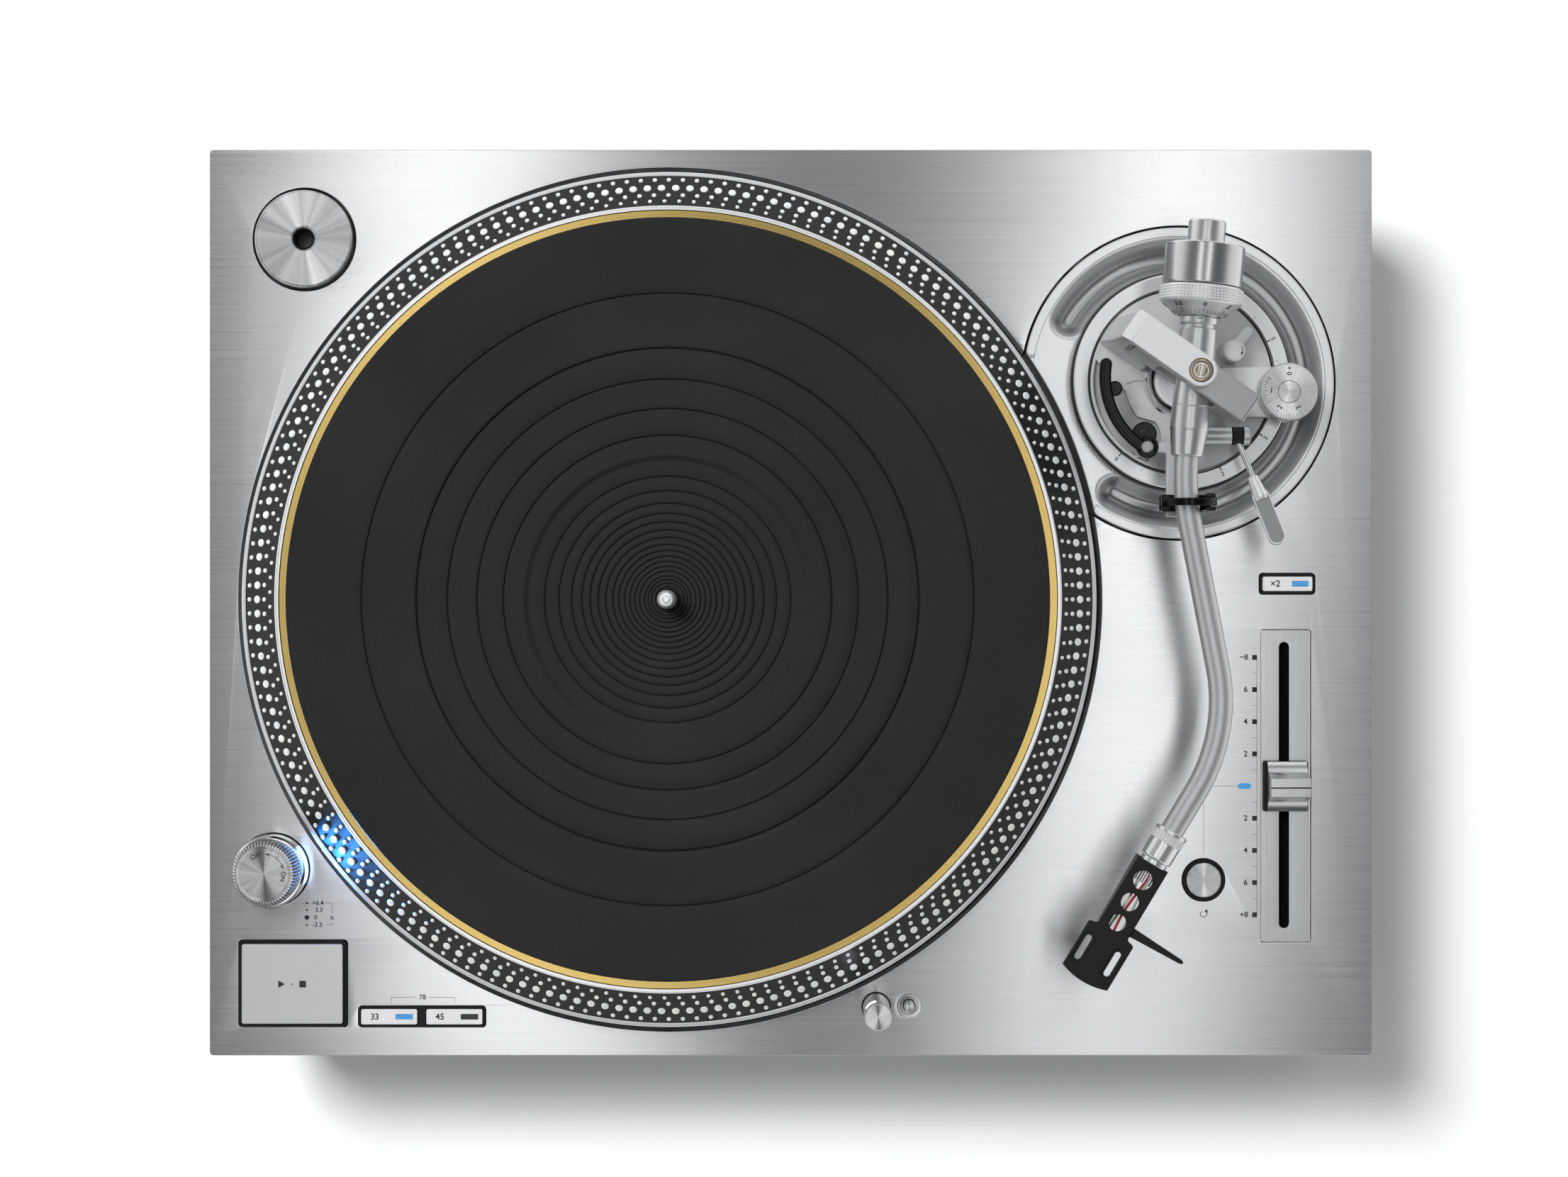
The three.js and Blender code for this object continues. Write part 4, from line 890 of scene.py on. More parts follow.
def fluted(profile, teeth, depth, from_row, to_row):
    """Surface of revolution with pointed flutes cut into the rows between two of its profile's points. Their
    depth is a triangle wave of the angle."""
    profile = np.asarray(profile, float)
    columns = 4 * teeth
    a = np.linspace(0, 2 * np.pi, columns, endpoint=False)[None, :]
    wave = np.abs((np.arange(columns) / 4) % 1 * 2 - 1)[None, :]
    rows = np.arange(len(profile))[:, None]
    amount = np.where((rows >= from_row) & (rows <= to_row), depth, 0) * wave
    r = np.maximum(profile[:, :1] - amount, 0)
    points = np.stack([r * np.cos(a), r * np.sin(a), profile[:, 1:] + 0 * a], -1)
    return points.reshape(-1, 3), quads(len(profile), columns)


def between_flutes(place):
    """Cut flutes with painted shade and highlight: bright to dark and back across each flute, a triangle wave
    of the angle about the knob.
    """
    centred = place.stretched(1, 1, 1, at=(*TOWER, 0))
    turn = centred.maths("ARCTAN2", centred.axis(1), centred.axis(0)) * (KNOB_FLUTES / math.tau)
    flute_wave = turn.maths("PINGPONG", turn, 0.5) * 2
    # Painted shade and highlight across each flute
    return {"Base Color": flute_wave.span(0.25, 0.8).greys(0.92, 0.16), "Roughness": 0.16 + 0.2 * flute_wave}


tower_metal = finish("polished tower", 0.8, 0.16, 1, lathed(x, y, 0.86, 0.74, 0.15))
strobe_lens = finish("lit strobe window", (0.8, 0.9, 1), 0.25, pattern=strobe_light, emission_strength=1.6)
flute_metal = finish("cut flutes", 0.82, 0.16, 0.85, between_flutes)
knob_metal = spun_metal("spun power knob", TOWER, 0.88, 0.62, 0.24)
tower_side = [(0, -10), (14, -10), (14, 1.45), (14, 1.55), (14, 5), (14, 9.4), (14, 9.5), (13.8, 10),
              (13.1, 11), (12.4, 11.1), (0, 11.1)]
piece("strobe_tower_body", [moved(notched(tower_side, 11.4, 1.5, 9.45, WINDOW_FROM, WINDOW_TO), x, y)],
      tower_metal, "player", ["strobe_tower"])
window_band = np.concatenate([arc(13.8, WINDOW_FROM + 1.6, WINDOW_TO - 1.6, x, y, 20),
                              arc(11.5, WINDOW_TO - 1.6, WINDOW_FROM + 1.6, x, y, 20)])
piece("strobe_tower_window", [plate([window_band], 1.9, 9.1, 0.1)], strobe_lens, "player",
      ["strobe_window"])


def lamp_panel(name, at, size, energy, towards, turn=0.0):
    """Rectangular lamp at a point in metres that shines along a direction, turned on its own face by an
    angle in degrees. The camera doesn't see the lamp itself."""
    light = bpy.data.lights.new(name, "AREA")
    light.shape = "RECTANGLE"
    light.size, light.size_y = size
    light.energy = energy
    lamp = bpy.data.objects.new(name, light)
    lamp.location = at
    lamp.rotation_euler = Vector(towards).to_track_quat("-Z", "Y").to_euler()
    lamp.rotation_euler.z += math.radians(turn)
    lamp.visible_camera = False
    bpy.context.scene.collection.objects.link(lamp)
    return lamp


# The lamps behind the window throw a blue glow up the slope of dots
middle = math.radians((WINDOW_FROM + WINDOW_TO) / 2)
glow_at = Vector((x + 14.3 * math.cos(middle), y + 14.3 * math.sin(middle), DECK + 5.5)) * MM
glow = lamp_panel("strobe glow", glow_at, (0.016, 0.006), 0.24,
                  (math.cos(middle), math.sin(middle), 0.6)).data
glow.color = (0.05, 0.3, 1)
glow.spread = math.radians(80)

# Flutes run up the side and over the bevel, and end at the flat face
knob_side = [(0, 11.4), (11.5, 11.4), (12.4, 11.4), (12.8, 11.8), (12.8, 17.9), (12.5, 18.6), (11.2, 19.95),
             (10.9, 20), (10.6, 19.98)]
knob_face = [(10.85, 19.9), (10.8, 20.02), (9.6, 20.02), (9.5, 19.93), (9.4, 20.02), (0, 20)]
piece("power_knob_side", [moved(fluted(knob_side, KNOB_FLUTES, 0.95, 3, 5), x, y)], flute_metal, "power_knob",
      ["power_knob"], angle=18)
piece("power_knob_face", [turned(knob_face, 96, TOWER)], knob_metal, "power_knob", angle=60)


def spot(at, radius, angle):
    """Point at a radius and an angle in degrees from another point."""
    turn = math.radians(angle)
    return np.array([at[0] + radius * math.cos(turn), at[1] + radius * math.sin(turn)])


def arrow_head(at, radius, angle, way, z, length=1.9, half=0.6):
    """Slim printed arrow head on a circle: its point lies that far along the circle from its notched back."""
    sweep = way * math.degrees(length / radius)
    return filled([spot(at, radius, angle + sweep), spot(at, radius - half, angle),
                   spot(at, radius, angle + 0.2 * sweep), spot(at, radius + half, angle)], z)


face, orbit = 20.03, 7.75
piece("power_knob_signs", [
    sign("OFF", 2.5, x - 2.9, y + 6.9, face, 22), sign("ON", 2.5, x + 7.3, y - 0.9, face, -98),
    printed(arc(orbit, 27, 74, x, y), 0.2, face), arrow_head(TOWER, orbit, 73, 1, face),
    arrow_head(TOWER, orbit, 28, -1, face),
    printed([spot(TOWER, orbit, 51), spot(TOWER, 9.05, 51)], 0.2, face)], ink, "power_knob")

# Speed legend by the tower: a dot for each ring of the platter's dots
dots_x, left, right, top, bottom = -188.6, -181.4, -178.8, -117.1, -125.6
parts = [printed([(left, top), (right, top), (right, -121.1)], THIN, 0),
         printed([(right, -124.6), (right, bottom), (left, bottom)], THIN, 0),
         sign("%", 2.2, right, -122.9, 0)]
for level, size, text, offset in ((top, 0.45, "+6.4", 4.3), (-119.8, 0.38, "3.3", 4.7),
                                  (-122.7, 0.95, "0", 3.4), (bottom, 0.4, "-3.3", 4.1)):
    parts += [filled(ring(size, dots_x, level, 20), 0), sign(text, 2.5, dots_x + offset, level, 0)]
piece("speed_legend", parts, ink, "player")

# ---- Pitch fader ----
# A sunken brushed strip has a slot for the fader's stem. The knob is an aluminium grip with a finger ramp
# on both sides of a pointer block, on a black base.

x, y = FADER["x"], FADER["y"]
strip_metal = finish("brushed strip", 0.76, 0.32, 1, brushed("y", 0.84, 0.7, 0.32))
slot = np.concatenate([arc(1.95, 0, 180, x - 0.6, y + 54.15, 16),
                       arc(1.95, 180, 360, x - 0.6, y - 53.55, 16)])
piece("fader_strip", [plate([in_panel(FADER, 0, 1), slot], -4.6, -1.4, 0.15)], strip_metal, "player",
      ["fader_plate"])
# A near-black sheet just under the slot is painted shade seen through it
slot_shade_black = finish("slot painted shade", 0.002, 0.95, specular_ior_level=0.02, pattern=lambda place: {
    "Base Color": place.noise(1500, 2).greys(0.001, 0.004)})
piece("fader_slot_shade", [plate([rounded_box(9, 116, 1, x - 0.6, y)], -4.95, -4.7)], slot_shade_black, "player")


def extruded(outline, half_width, x, y, edge):
    """Side view of (distance along Y, height) points drawn out along X by half the width to both sides."""
    points, faces = plate([outline], -half_width, half_width, edge)
    return points[:, (2, 0, 1)] + [x, y, 0], faces


t = np.linspace(0, 1, 14)
ramp = np.stack([9.6 - 5.75 * t, 2.6 + 6.3 * (1 - np.sqrt(1 - t ** 2)) + 0.8 * t], -1)
# Half of the pointer block, up to the line cut across it
block = np.array([(3.6, 11.3), (3.35, 11.6), (0.26, 11.62), (0.2, 11.1)])
grip_half = np.concatenate([ramp, block])
grip_view = np.concatenate([[(-9.7, 1.3), (9.7, 1.3)], grip_half, (grip_half * [-1, 1])[::-1]])
grip_metal = finish("satin grip", 0.74, 0.26, 1, brushed("x", 0.82, 0.68, 0.26))
piece("pitch_knob_grip", [extruded(grip_view, 7.7, x, y, 0.15)], grip_metal, "pitch_knob",
      ["pitch_knob"], angle=25)
piece("pitch_knob_base", [
    plate([rounded_box(17.3, 19.6, 0.8, x - 0.3, y)], -0.8, 1.5, 0.3, 2),
    plate([rounded_box(15.7, 19.4, 0.6, x, y)], 1.4, 2.2, 0.1),
    plate([rounded_box(15.5, 0.42, 0.05, x, y)], 11.0, 11.45),
    plate([rounded_box(2, 9, 0.4, x - 0.6, y)], -17, -0.5)], black_moulding, "pitch_knob")

# The fader's scale: squares at even values, ticks at odd ones, and numbers at its left
scale_x, line_x, step = 181.6, 181.7, 6.27
parts = [printed([(line_x, y + 8 * step), (line_x, y - 8 * step)], THIN, 0)]
for value in range(-8, 9):
    level = y - value * step
    if value % 2:
        parts.append(printed([(scale_x - 1.7, level), (line_x, level)], THIN, 0))
    elif value:
        left, low, high = scale_x - 1.75, level - 0.95, level + 0.95
        parts.append(filled([(left, low), (line_x, low), (line_x, high), (left, high)], 0))
        text = {-8: "−8", 8: "+8"}.get(value, str(abs(value)))
        parts.append(sign(text, 3.1, scale_x - (5.0 if abs(value) == 8 else 4.3), level, 0))
piece("fader_scale", parts, ink, "player")
piece("fader_lamp", [plate([rounded_box(5.2, 2.2, 1.05, 176.9, y)], -0.5, 0.12, 0.1)], lamp_blue, "player")

# ---- Single adaptor ----
# The adaptor for records with a large hole rests in its own recess. It is a heavy disc with a spun top and
# a cone down to its bore, which is lined with dark plastic that grips the spindle.

disc_side = [(4, -5.7), (ADAPTOR_RADIUS, -5.7), (ADAPTOR_RADIUS, 2.3), (18.3, 3), (4.9, 3), (4.3, 2.4),
             (4, 0)]
lining = [(3.6, -5.6), (3.95, -5.6), (3.95, 1.9), (3.8, 2), (3.6, 1.6)]
piece("adaptor_disc", [turned(disc_side, 128, ADAPTOR, 0.3, True)],
      spun_metal("spun adaptor", ADAPTOR, 0.95, 0.5, 0.26), "adaptor", ["adaptor_45"])
piece("adaptor_bore", [turned(lining, 48, ADAPTOR, 0.1, True)], black_moulding, "adaptor")

# ---- Arm flange ----
# A cast disc carries the tonearm. A rounded channel for fingertips runs three quarters of the way round, and
# the disc is cut away where the platter passes.

FLANGE_RADIUS, FLANGE_BORE = 60.6, 30.5
CHANNEL_RADIUS, CHANNEL_FROM, CHANNEL_TO = 49, -120, 150


def flange_reach(a):
    """How far the flange reaches along an angle: to its own rim or to the platter's circle, where
    |pivot + r u - spindle| = R gives r = -d.u - sqrt((d.u)^2 - d.d + R^2)."""
    d = np.array(PIVOT) - np.array(SPINDLE)
    along = d[0] * np.cos(a) + d[1] * np.sin(a)
    inside = along ** 2 - d @ d + (WELL_RADIUS + 0.4) ** 2
    cut = -along - np.sqrt(np.maximum(inside, 0))
    return np.where((inside > 0) & (cut > 0), np.minimum(cut, FLANGE_RADIUS), FLANGE_RADIUS)


def channel_depth(r, a):
    """Depth of the channel: 3.3 (1 + cos(pi s^1.4)) where s = d / 7.7 for a distance d from its middle line,
    which is an arc with a round end at both sides."""
    middle = math.radians((CHANNEL_FROM + CHANNEL_TO) / 2)
    half = math.radians((CHANNEL_TO - CHANNEL_FROM) / 2)
    off = np.clip((a - middle + np.pi) % (2 * np.pi) - np.pi, -half, half) + middle
    d = np.hypot(r * np.cos(a) - CHANNEL_RADIUS * np.cos(off), r * np.sin(a) - CHANNEL_RADIUS * np.sin(off))
    return 3.3 * (1 + np.cos(np.pi * np.clip(d / 7.7, 0, 1) ** 1.4))


def channel_cast(place):
    """The cast face is bright and grainy; deeper in the channel it is more like bare metal, and its colour is
    painted darker there as shade.
    """
    look = cast_grain(0.9, 0.8, 0.32, 0.012)(place)
    face = place.axis(2).span((DECK - 4) * MM, (DECK + 0.2) * MM)
    look["Metallic"] = 0.98 - 0.22 * face
    # Painted shade: the colour darkens towards the bottom of the channel
    look["Base Color"] = face.greys(0.56, 0.84)
    return look


a = np.linspace(0, 2 * np.pi, 360, endpoint=False)
reach = flange_reach(a)
on_rim = reach > 60
r = np.concatenate([[FLANGE_BORE], np.linspace(35, 56.8, 40), [57, 57.15, 57.3, 57.6, 59.6, 60.0, 60.2]])
step_up = 0.6 * np.clip((r - 57) / 0.3, 0, 1)
r = np.minimum(r[:, None], reach - 0.3)
heights = 0.3 + step_up[:, None] * on_rim - channel_depth(r, a[None, :])
# The rim's own step, its side and the bore follow the face
r = np.vstack([r, reach - 0.1, reach, reach, np.full(360, FLANGE_BORE)])
heights = np.vstack([heights, 0.12 + 0.6 * on_rim, -0.2 + 0.6 * on_rim, np.full((2, 360), -19.5)])
flange_points = np.stack([r * np.cos(a), r * np.sin(a), heights], -1).reshape(-1, 3)
channel_shaded_satin = finish("channelled cast satin with painted channel shade", 0.84, 0.32, 0.82, channel_cast)
piece("arm_flange_channel", [moved((flange_points, quads(len(r), len(a), True)), *PIVOT)], channel_shaded_satin,
      "player", ["arm_flange"], angle=50)

# ---- Height ring ----
# A knurled ring of turned aluminium runs on a thread round the arm base and screws the arm up and down. A
# scale is printed on its face.

px, py = PIVOT


def knurled(place):
    """Turned satin metal with painted shade: its colour goes nearly black in the roots of the knurl below its
    face.
    """
    look = lathed(px, py, 0.75, 0.66, 0.3)(place)
    # Painted shade in the knurl's roots: inside the teeth's outer radius and below the face
    inside = place.about(px, py)[1].span(43.1 * MM, 42.6 * MM)
    root = inside * place.axis(2).span((DECK + 9.3) * MM, (DECK + 8.8) * MM)
    look["Base Color"] = root.mix(look["Base Color"], (*grey(0.12), 1))
    return look


def spoke(at, inner, outer, angle, width, z):
    """Printed line out from a point, between two radii."""
    return printed([spot(at, inner, angle), spot(at, outer, angle)], width, z)


ring_metal = finish("satin ring", 0.7, 0.3, 0.72, knurled)
ring_side = [(35.7, 0.6), (42.4, 0.6), (42.6, 1.4), (43.1, 1.9), (43.2, 2.4), (43.2, 6.4), (42.9, 7.2),
             (41.9, 8.7), (41.75, 9.1), (41.2, 9.6), (36.1, 9.6), (35.7, 9.2)]
RING_TEETH = 250
ring_points, ring_faces = fluted(ring_side, RING_TEETH, 0.75, 3, 7)
# One more row of faces closes the ring's bore, from its last row of points to its first
around = 4 * RING_TEETH
last_row = around * (len(ring_side) - 1)
bore_faces = quads(2, around) % around + np.array([last_row, last_row, 0, 0])
ring_faces = np.vstack([ring_faces, bore_faces])
piece("height_ring_knurl", [moved((ring_points, ring_faces), px, py)], ring_metal, "height_ring",
      ["height_ring"], angle=40)
face = 9.62
parts = [printed(arc(36.05, 0, 358, px, py, 120), 0.5, face, closed=True)]
for number, angle in enumerate((230, 262, 294, 326, 356, 25, 57)):
    parts.append(spoke(PIVOT, 36.2, 37.7, angle, 0.45, face))
    parts.append(sign(str(number), 2.3, *spot(PIVOT, 39.2, angle), face, angle + 90))
    if number < 6:
        parts.append(spoke(PIVOT, 36.8, 38.2, angle + 16, 0.16, face))
piece("height_ring_scale", parts, ink, "height_ring")

# ---- Arm base ----
# The cast base stands inside the ring. It has a pocket for the lift bar, a bright bearing cap in a raised
# rim, and a grainy painted face.


def polar(radius, angle):
    """Point at a radius and an angle in degrees from the pivot."""
    return spot(PIVOT, radius, angle)


base_paint = finish("grainy cast paint", 0.6, 0.4, 0.5, cast_grain(0.67, 0.53, 0.4, 0.035))
# The sunken pocket's floor takes a darker copy of the face's paint: painted shade
pocket_shade_paint = finish("pocket paint darkened as painted shade", 0.5, 0.42, 0.7, cast_grain(0.56, 0.42, 0.42, 0.04))
bearing_rim = finish("bearing rim", 0.7, 0.22, 1, lathed(px, py, 0.76, 0.62, 0.22))
cap_metal = finish("bearing cap", 0.94, 0.38, 0.5, lathed(px, py, 0.97, 0.9, 0.38))
boss = polar(27.6, 231.9)
pocket = np.concatenate([
    arc(33.9, 166, 247, px, py, 40), arc(9.2, -62, 42, *boss, 14), arc(21.8, 219, 190, px, py, 14),
    [polar(23.6, 186), polar(25.2, 183)], arc(2.4, 250, 110, *polar(27.2, 178.5), 8)])
piece("arm_base_top", [plate([ring(35.2, px, py, 180), pocket, ring(13.6, px, py, 72)], 5.6, 9, 0.35, 3)],
      base_paint, "arm_base", ["arm_base"])
floor_side = [(12, -18), (29.9, -18), (29.9, 0.8), (35.1, 0.8), (35.1, 6), (12, 6)]
rim_side = [(14.6, 5.8), (14.6, 9.2), (13.7, 9.8), (13.3, 11.1), (12.1, 11.1), (11.7, 10.2), (11.7, 5)]
cap_side = [(10.7, 4), (10.7, 11.6), (9.6, 12), (5, 12), (5, 30.8), (0, 30.8)]
# A black ring at the bottom of the gap between cap and rim is painted shade
gap_shade_side = [(10.5, 4), (12, 4), (12, 6.2), (10.5, 6.2)]
piece("arm_base_floor", [turned(floor_side, 180, PIVOT, 0.2, True)], pocket_shade_paint, "arm_base")
piece("arm_base_rim", [turned(rim_side, 144, PIVOT, 0.35, True, 4)], bearing_rim, "arm_base")
piece("arm_base_gap_shade", [turned(gap_shade_side, 96, PIVOT, closed=True)], black_moulding, "arm_base")
piece("arm_base_cap", [turned(cap_side, 96, PIVOT, 0.3)], cap_metal, "arm_base")
# Ribs of the casting: one runs from the rim to the pocket, the other edges the rest's foot
rib = [polar(14.2, 177), polar(18, 177.5), polar(21.6, 181)]
foot_edge = [polar(34.6, 218), polar(34.9, 231), polar(34.3, 238), polar(30.3, 250), polar(29.2, 262)]
piece("arm_base_ribs", [ribbon(rib, 1.1, 8, 9.8), ribbon(foot_edge, 0.8, 8, 9.7)], base_paint, "arm_base",
      angle=70)

# ---- Lock lever ----
# A small bead-blasted knob with a wing tightens the screw that locks the arm's height. A printed arrow shows
# which way it locks.


def rotated(outline, degrees):
    """Flat outline turned about its origin."""
    c, s = math.cos(math.radians(degrees)), math.sin(math.radians(degrees))
    return outline @ np.array([[c, s], [-s, c]])


lock_at = (px + 18.5, py + 10.8)
knob_satin = finish("satin knob", 0.74, 0.34, 0.5, blasted(0.78, 0.7, 0.34))
wing = rotated(rounded_box(4.6, 15, 2.2) + [0, 5.5], -40) + lock_at
lock_side = [(0, 9.3), (4.4, 9.3), (4.4, 21), (3.9, 21.7), (0, 22)]
piece("lock_knob", [turned(lock_side, 64, lock_at, 0.3), plate([wing], 9.3, 11.6, 0.6, 3)], knob_satin,
      "lock_lever", ["lock_lever"])
piece("lock_knob_arrow", [printed(arc(3.1, 34, -14, *lock_at, 12), 0.22, 22.0),
                          arrow_head(lock_at, 3.1, -10, -1, 22.0, 1.4, 0.5)], ink, "lock_lever")

# ---- Anti-skating arm and knob ----
# A cast arm reaches over the ring to the anti-skating knob, a spun disc with a fine knurl and a printed
# scale from 0 to 3.

knob_at = kx, ky = px + 38.9, py - 5.2
arm_outline = np.concatenate([[(px + 14.6, py + 5), (px + 14.6, py - 14.3), (kx, py - 14.3)],
                              arc(9.65, -90, 90, kx, py - 4.65, 24), [(kx, py + 5)]])
piece("anti_skating_arm_cast", [
    plate([arm_outline], 10.2, 16.3, 0.5, 3),
    plate([rounded_box(16.4, 19.3, 0.5, px + 22.8, py - 4.65)], 9.3, 10.6, 0.1)], base_paint, "arm_base",
      ["anti_skating_arm"])
piece("anti_skating_index", [printed(arc(1.6, 150, 215, px + 27.4, py - 4.5, 8), 0.28, 16.33)], ink,
      "arm_base")
scale_metal = spun_metal("spun anti-skating knob", knob_at, 0.86, 0.66, 0.26)
knob_side = [(0, 16.6), (10.6, 16.6), (11.0, 16.9), (11.3, 17.2), (11.3, 24.2), (11.0, 24.7), (10.6, 25.0),
             (10.2, 25.3), (0, 25.3)]
face_side = [(10.3, 25.2), (10.2, 25.4), (4.4, 25.4), (4.3, 25.3), (4.15, 25.3), (4.05, 25.4), (0, 25.4)]
piece("anti_skating_knurl", [moved(fluted(knob_side, 96, 0.45, 3, 5), kx, ky)], ring_metal,
      "anti_skating_knob", ["anti_skating_knob"], angle=40)
piece("anti_skating_face", [turned(face_side, 96, knob_at)], scale_metal, "anti_skating_knob",
      angle=60)
face = 25.42
parts = [filled(ring(0.42, kx, ky + 9.0, 20), face)]
parts += [sign(text, 2.7, *spot(knob_at, 6.9, angle), face, angle - 180)
          for text, angle in (("0", 91), ("1", 177), ("2", 238.5), ("3", 300))]
for step in range(26):
    inner, width = (8.9, 0.15) if step % 5 else (8.1, 0.2)
    parts.append(spoke(knob_at, inner, 10.1, 146 + 6.15 * step, width, face))
piece("anti_skating_scale", parts, ink, "anti_skating_knob")

# ---- Cueing lever ----
# A cast barrel holds the cueing lever in a slot. The lever is a thin polished rod with a conical ferrule
# and a flat paddle; lowering it raises the lift bar.

CUE_Y, CUE_HEIGHT = -21.7, 19.8
LEAN, FALL = 20.6, 8


def laid(part, x, y, z, heading=0.0, slope=0.0):
    """A part made along Z, laid so that its Z runs forward at a heading and its X to the right. It rises
    forward by that slope; both are in degrees."""
    points, faces = part
    h, s = math.radians(heading), math.radians(slope)
    right = np.array([math.cos(h), math.sin(h), 0])
    ahead = np.array([math.sin(h) * math.cos(s), -math.cos(h) * math.cos(s), math.sin(s)])
    up = np.cross(ahead, right)
    return points @ np.array([right, up, ahead]) + np.array([x, y, z]), faces


def boxed(x0, x1, y0, y1, z0, z1, edge=0.2, corner=0.3):
    """Block with eased edges, in millimetres from the pivot and above the deck."""
    return plate([rounded_box(x1 - x0, y1 - y0, corner, px + (x0 + x1) / 2, py + (y0 + y1) / 2)], z0, z1,
                 edge, 2)


def barrel(start, length):
    """Length of the round barrel from a distance to the right of the pivot."""
    rod = turned([(0, 0), (3.65, 0), (3.65, length), (0, length)], 48, ease=0.3)
    return laid(rod, px + start, py + CUE_Y, CUE_HEIGHT, 90)


def on_lever(part):
    """A part made along Z, laid along the lever with Z counted from its hub."""
    return laid(part, px + 19.4, py + CUE_Y, CUE_HEIGHT, LEAN, FALL)


def paddle(width, length, radius, low, high, edge, steps):
    """Flat layer of the lever's paddle."""
    points, faces = plate([rounded_box(width, length, radius, 0, -33.6, 10)], low, high, edge, steps)
    return on_lever((points[:, (0, 2, 1)] * [1, 1, -1], faces))


barrel_metal = finish("cast barrel", 0.74, 0.36, 0.7, cast_grain(0.78, 0.68, 0.36, 0.008))
rod_metal = finish("polished rod", 0.78, 0.14, 1,
                   lambda place: {"Roughness": 0.1 + 0.1 * place.noise(700, 2)})
handle_metal = finish("satin handle", 0.86, 0.3, 0.75, blasted(0.9, 0.82, 0.3))
paddle_metal = finish("dull paddle", 0.3, 0.42, 0.7, blasted(0.33, 0.27, 0.42))
front, back = CUE_Y - 3, CUE_Y + 3
piece("cue_barrel", [barrel(3, 14.5), barrel(22.1, 2.4), boxed(3, 24.5, front, back, 9.3, CUE_HEIGHT - 4.4),
                     boxed(3, 17.5, front, back, CUE_HEIGHT - 5, CUE_HEIGHT - 1),
                     boxed(22.1, 24.5, front, back, CUE_HEIGHT - 5, CUE_HEIGHT - 1)],
      barrel_metal, "arm_base", ["cue_housing"])
# A black slab at the bottom of the lever's slot is painted shade
piece("cue_slot_shade", [boxed(17.5, 22.1, front + 0.2, back - 0.2, CUE_HEIGHT - 4.5, CUE_HEIGHT - 3.9, 0.05)],
      black_moulding, "arm_base")
hub = turned([(0, -1.5), (3.4, -1.5), (3.4, 2.4), (0, 2.4)], 40, ease=0.25)
ferrule = [(0, 16.8), (1.9, 16.8), (2.1, 17.4), (3.0, 25.2), (2.6, 26.6), (0, 26.8)]
piece("cue_rod", [on_lever(turned([(0, 1.5), (1.15, 1.5), (1.15, 18.5), (0, 18.5)], 32))], rod_metal,
      "cue_lever", ["cue_lever"])
piece("cue_hub", [laid(hub, px + 19.4, py + CUE_Y, CUE_HEIGHT, 90)], black_moulding, "cue_lever")
piece("cue_ferrule", [on_lever(turned(ferrule, 40, ease=0.3))], handle_metal, "cue_lever")
piece("cue_paddle", [paddle(6.7, 22.6, 3.3, -1.5, 1.4, 0.4, 3)], handle_metal, "cue_lever")
piece("cue_paddle_face", [paddle(5.7, 21.4, 2.8, 1.2, 1.55, 0.1, 2)], paddle_metal, "cue_lever")

# ---- Lift bar ----
# The curved bar under the arm rises when the cueing lever is raised. It is glossy black with a rounded edge,
# and a slotted screw holds it on its post.


def gloss(place):
    """Glossy moulding with the faint waves of a thick section."""
    return {"Roughness": 0.1 + 0.12 * place.noise(220, 3), "Normal": place.noise(160, 2).bump(0.02)}


def capped(rows, columns):
    """Faces of a tube of that many rings, closed at both ends."""
    ends = [list(range(columns))[::-1], list(range(columns * (rows - 1), columns * rows))]
    return quads(rows, columns).tolist() + ends


def run_along(path, section, base, taper):
    """Bar with a cross-section of (across, height) points along a path of (x, y). Its width shrinks as
    sqrt(1 - s^2) towards both ends over that length, which rounds them."""
    way = np.gradient(path, axis=0)
    lengths = np.concatenate([[0], np.cumsum(np.linalg.norm(np.diff(path, axis=0), axis=1))])
    ends = np.linspace(0, 1, 7) ** 2 * taper
    inner = lengths[(lengths > taper) & (lengths < lengths[-1] - taper)]
    marks = np.unique(np.concatenate([ends, inner, lengths[-1] - ends]))
    path, way = (np.stack([np.interp(marks, lengths, line[:, axis]) for axis in (0, 1)], -1)
                 for line in (path, way))
    side = np.stack([-way[:, 1], way[:, 0]], -1) / np.linalg.norm(way, axis=1, keepdims=True)
    near_end = np.clip(1 - np.minimum(marks, lengths[-1] - marks) / taper, 0, 1)
    width = np.maximum(np.sqrt(1 - near_end ** 2), 0.05)[:, None, None]
    flat = path[:, None] + side[:, None] * section[None, :, :1] * width
    level = np.broadcast_to(section[None, :, 1:] + base, (len(marks), len(section), 1))
    return np.concatenate([flat, level], -1).reshape(-1, 3), capped(len(marks), len(section))


def slotted(radius, gap, turn, at, bottom, top, edge, sides):
    """Slotted screw head: two parts of a circle, each beyond half the slot's width."""
    spread = math.degrees(math.asin(gap / 2 / radius))
    half = arc(radius, turn + spread, turn + 180 - spread, 0, 0, sides)
    return [plate([half + at], bottom, top, edge, 2), plate([np.array(at) - half], bottom, top, edge, 2)]


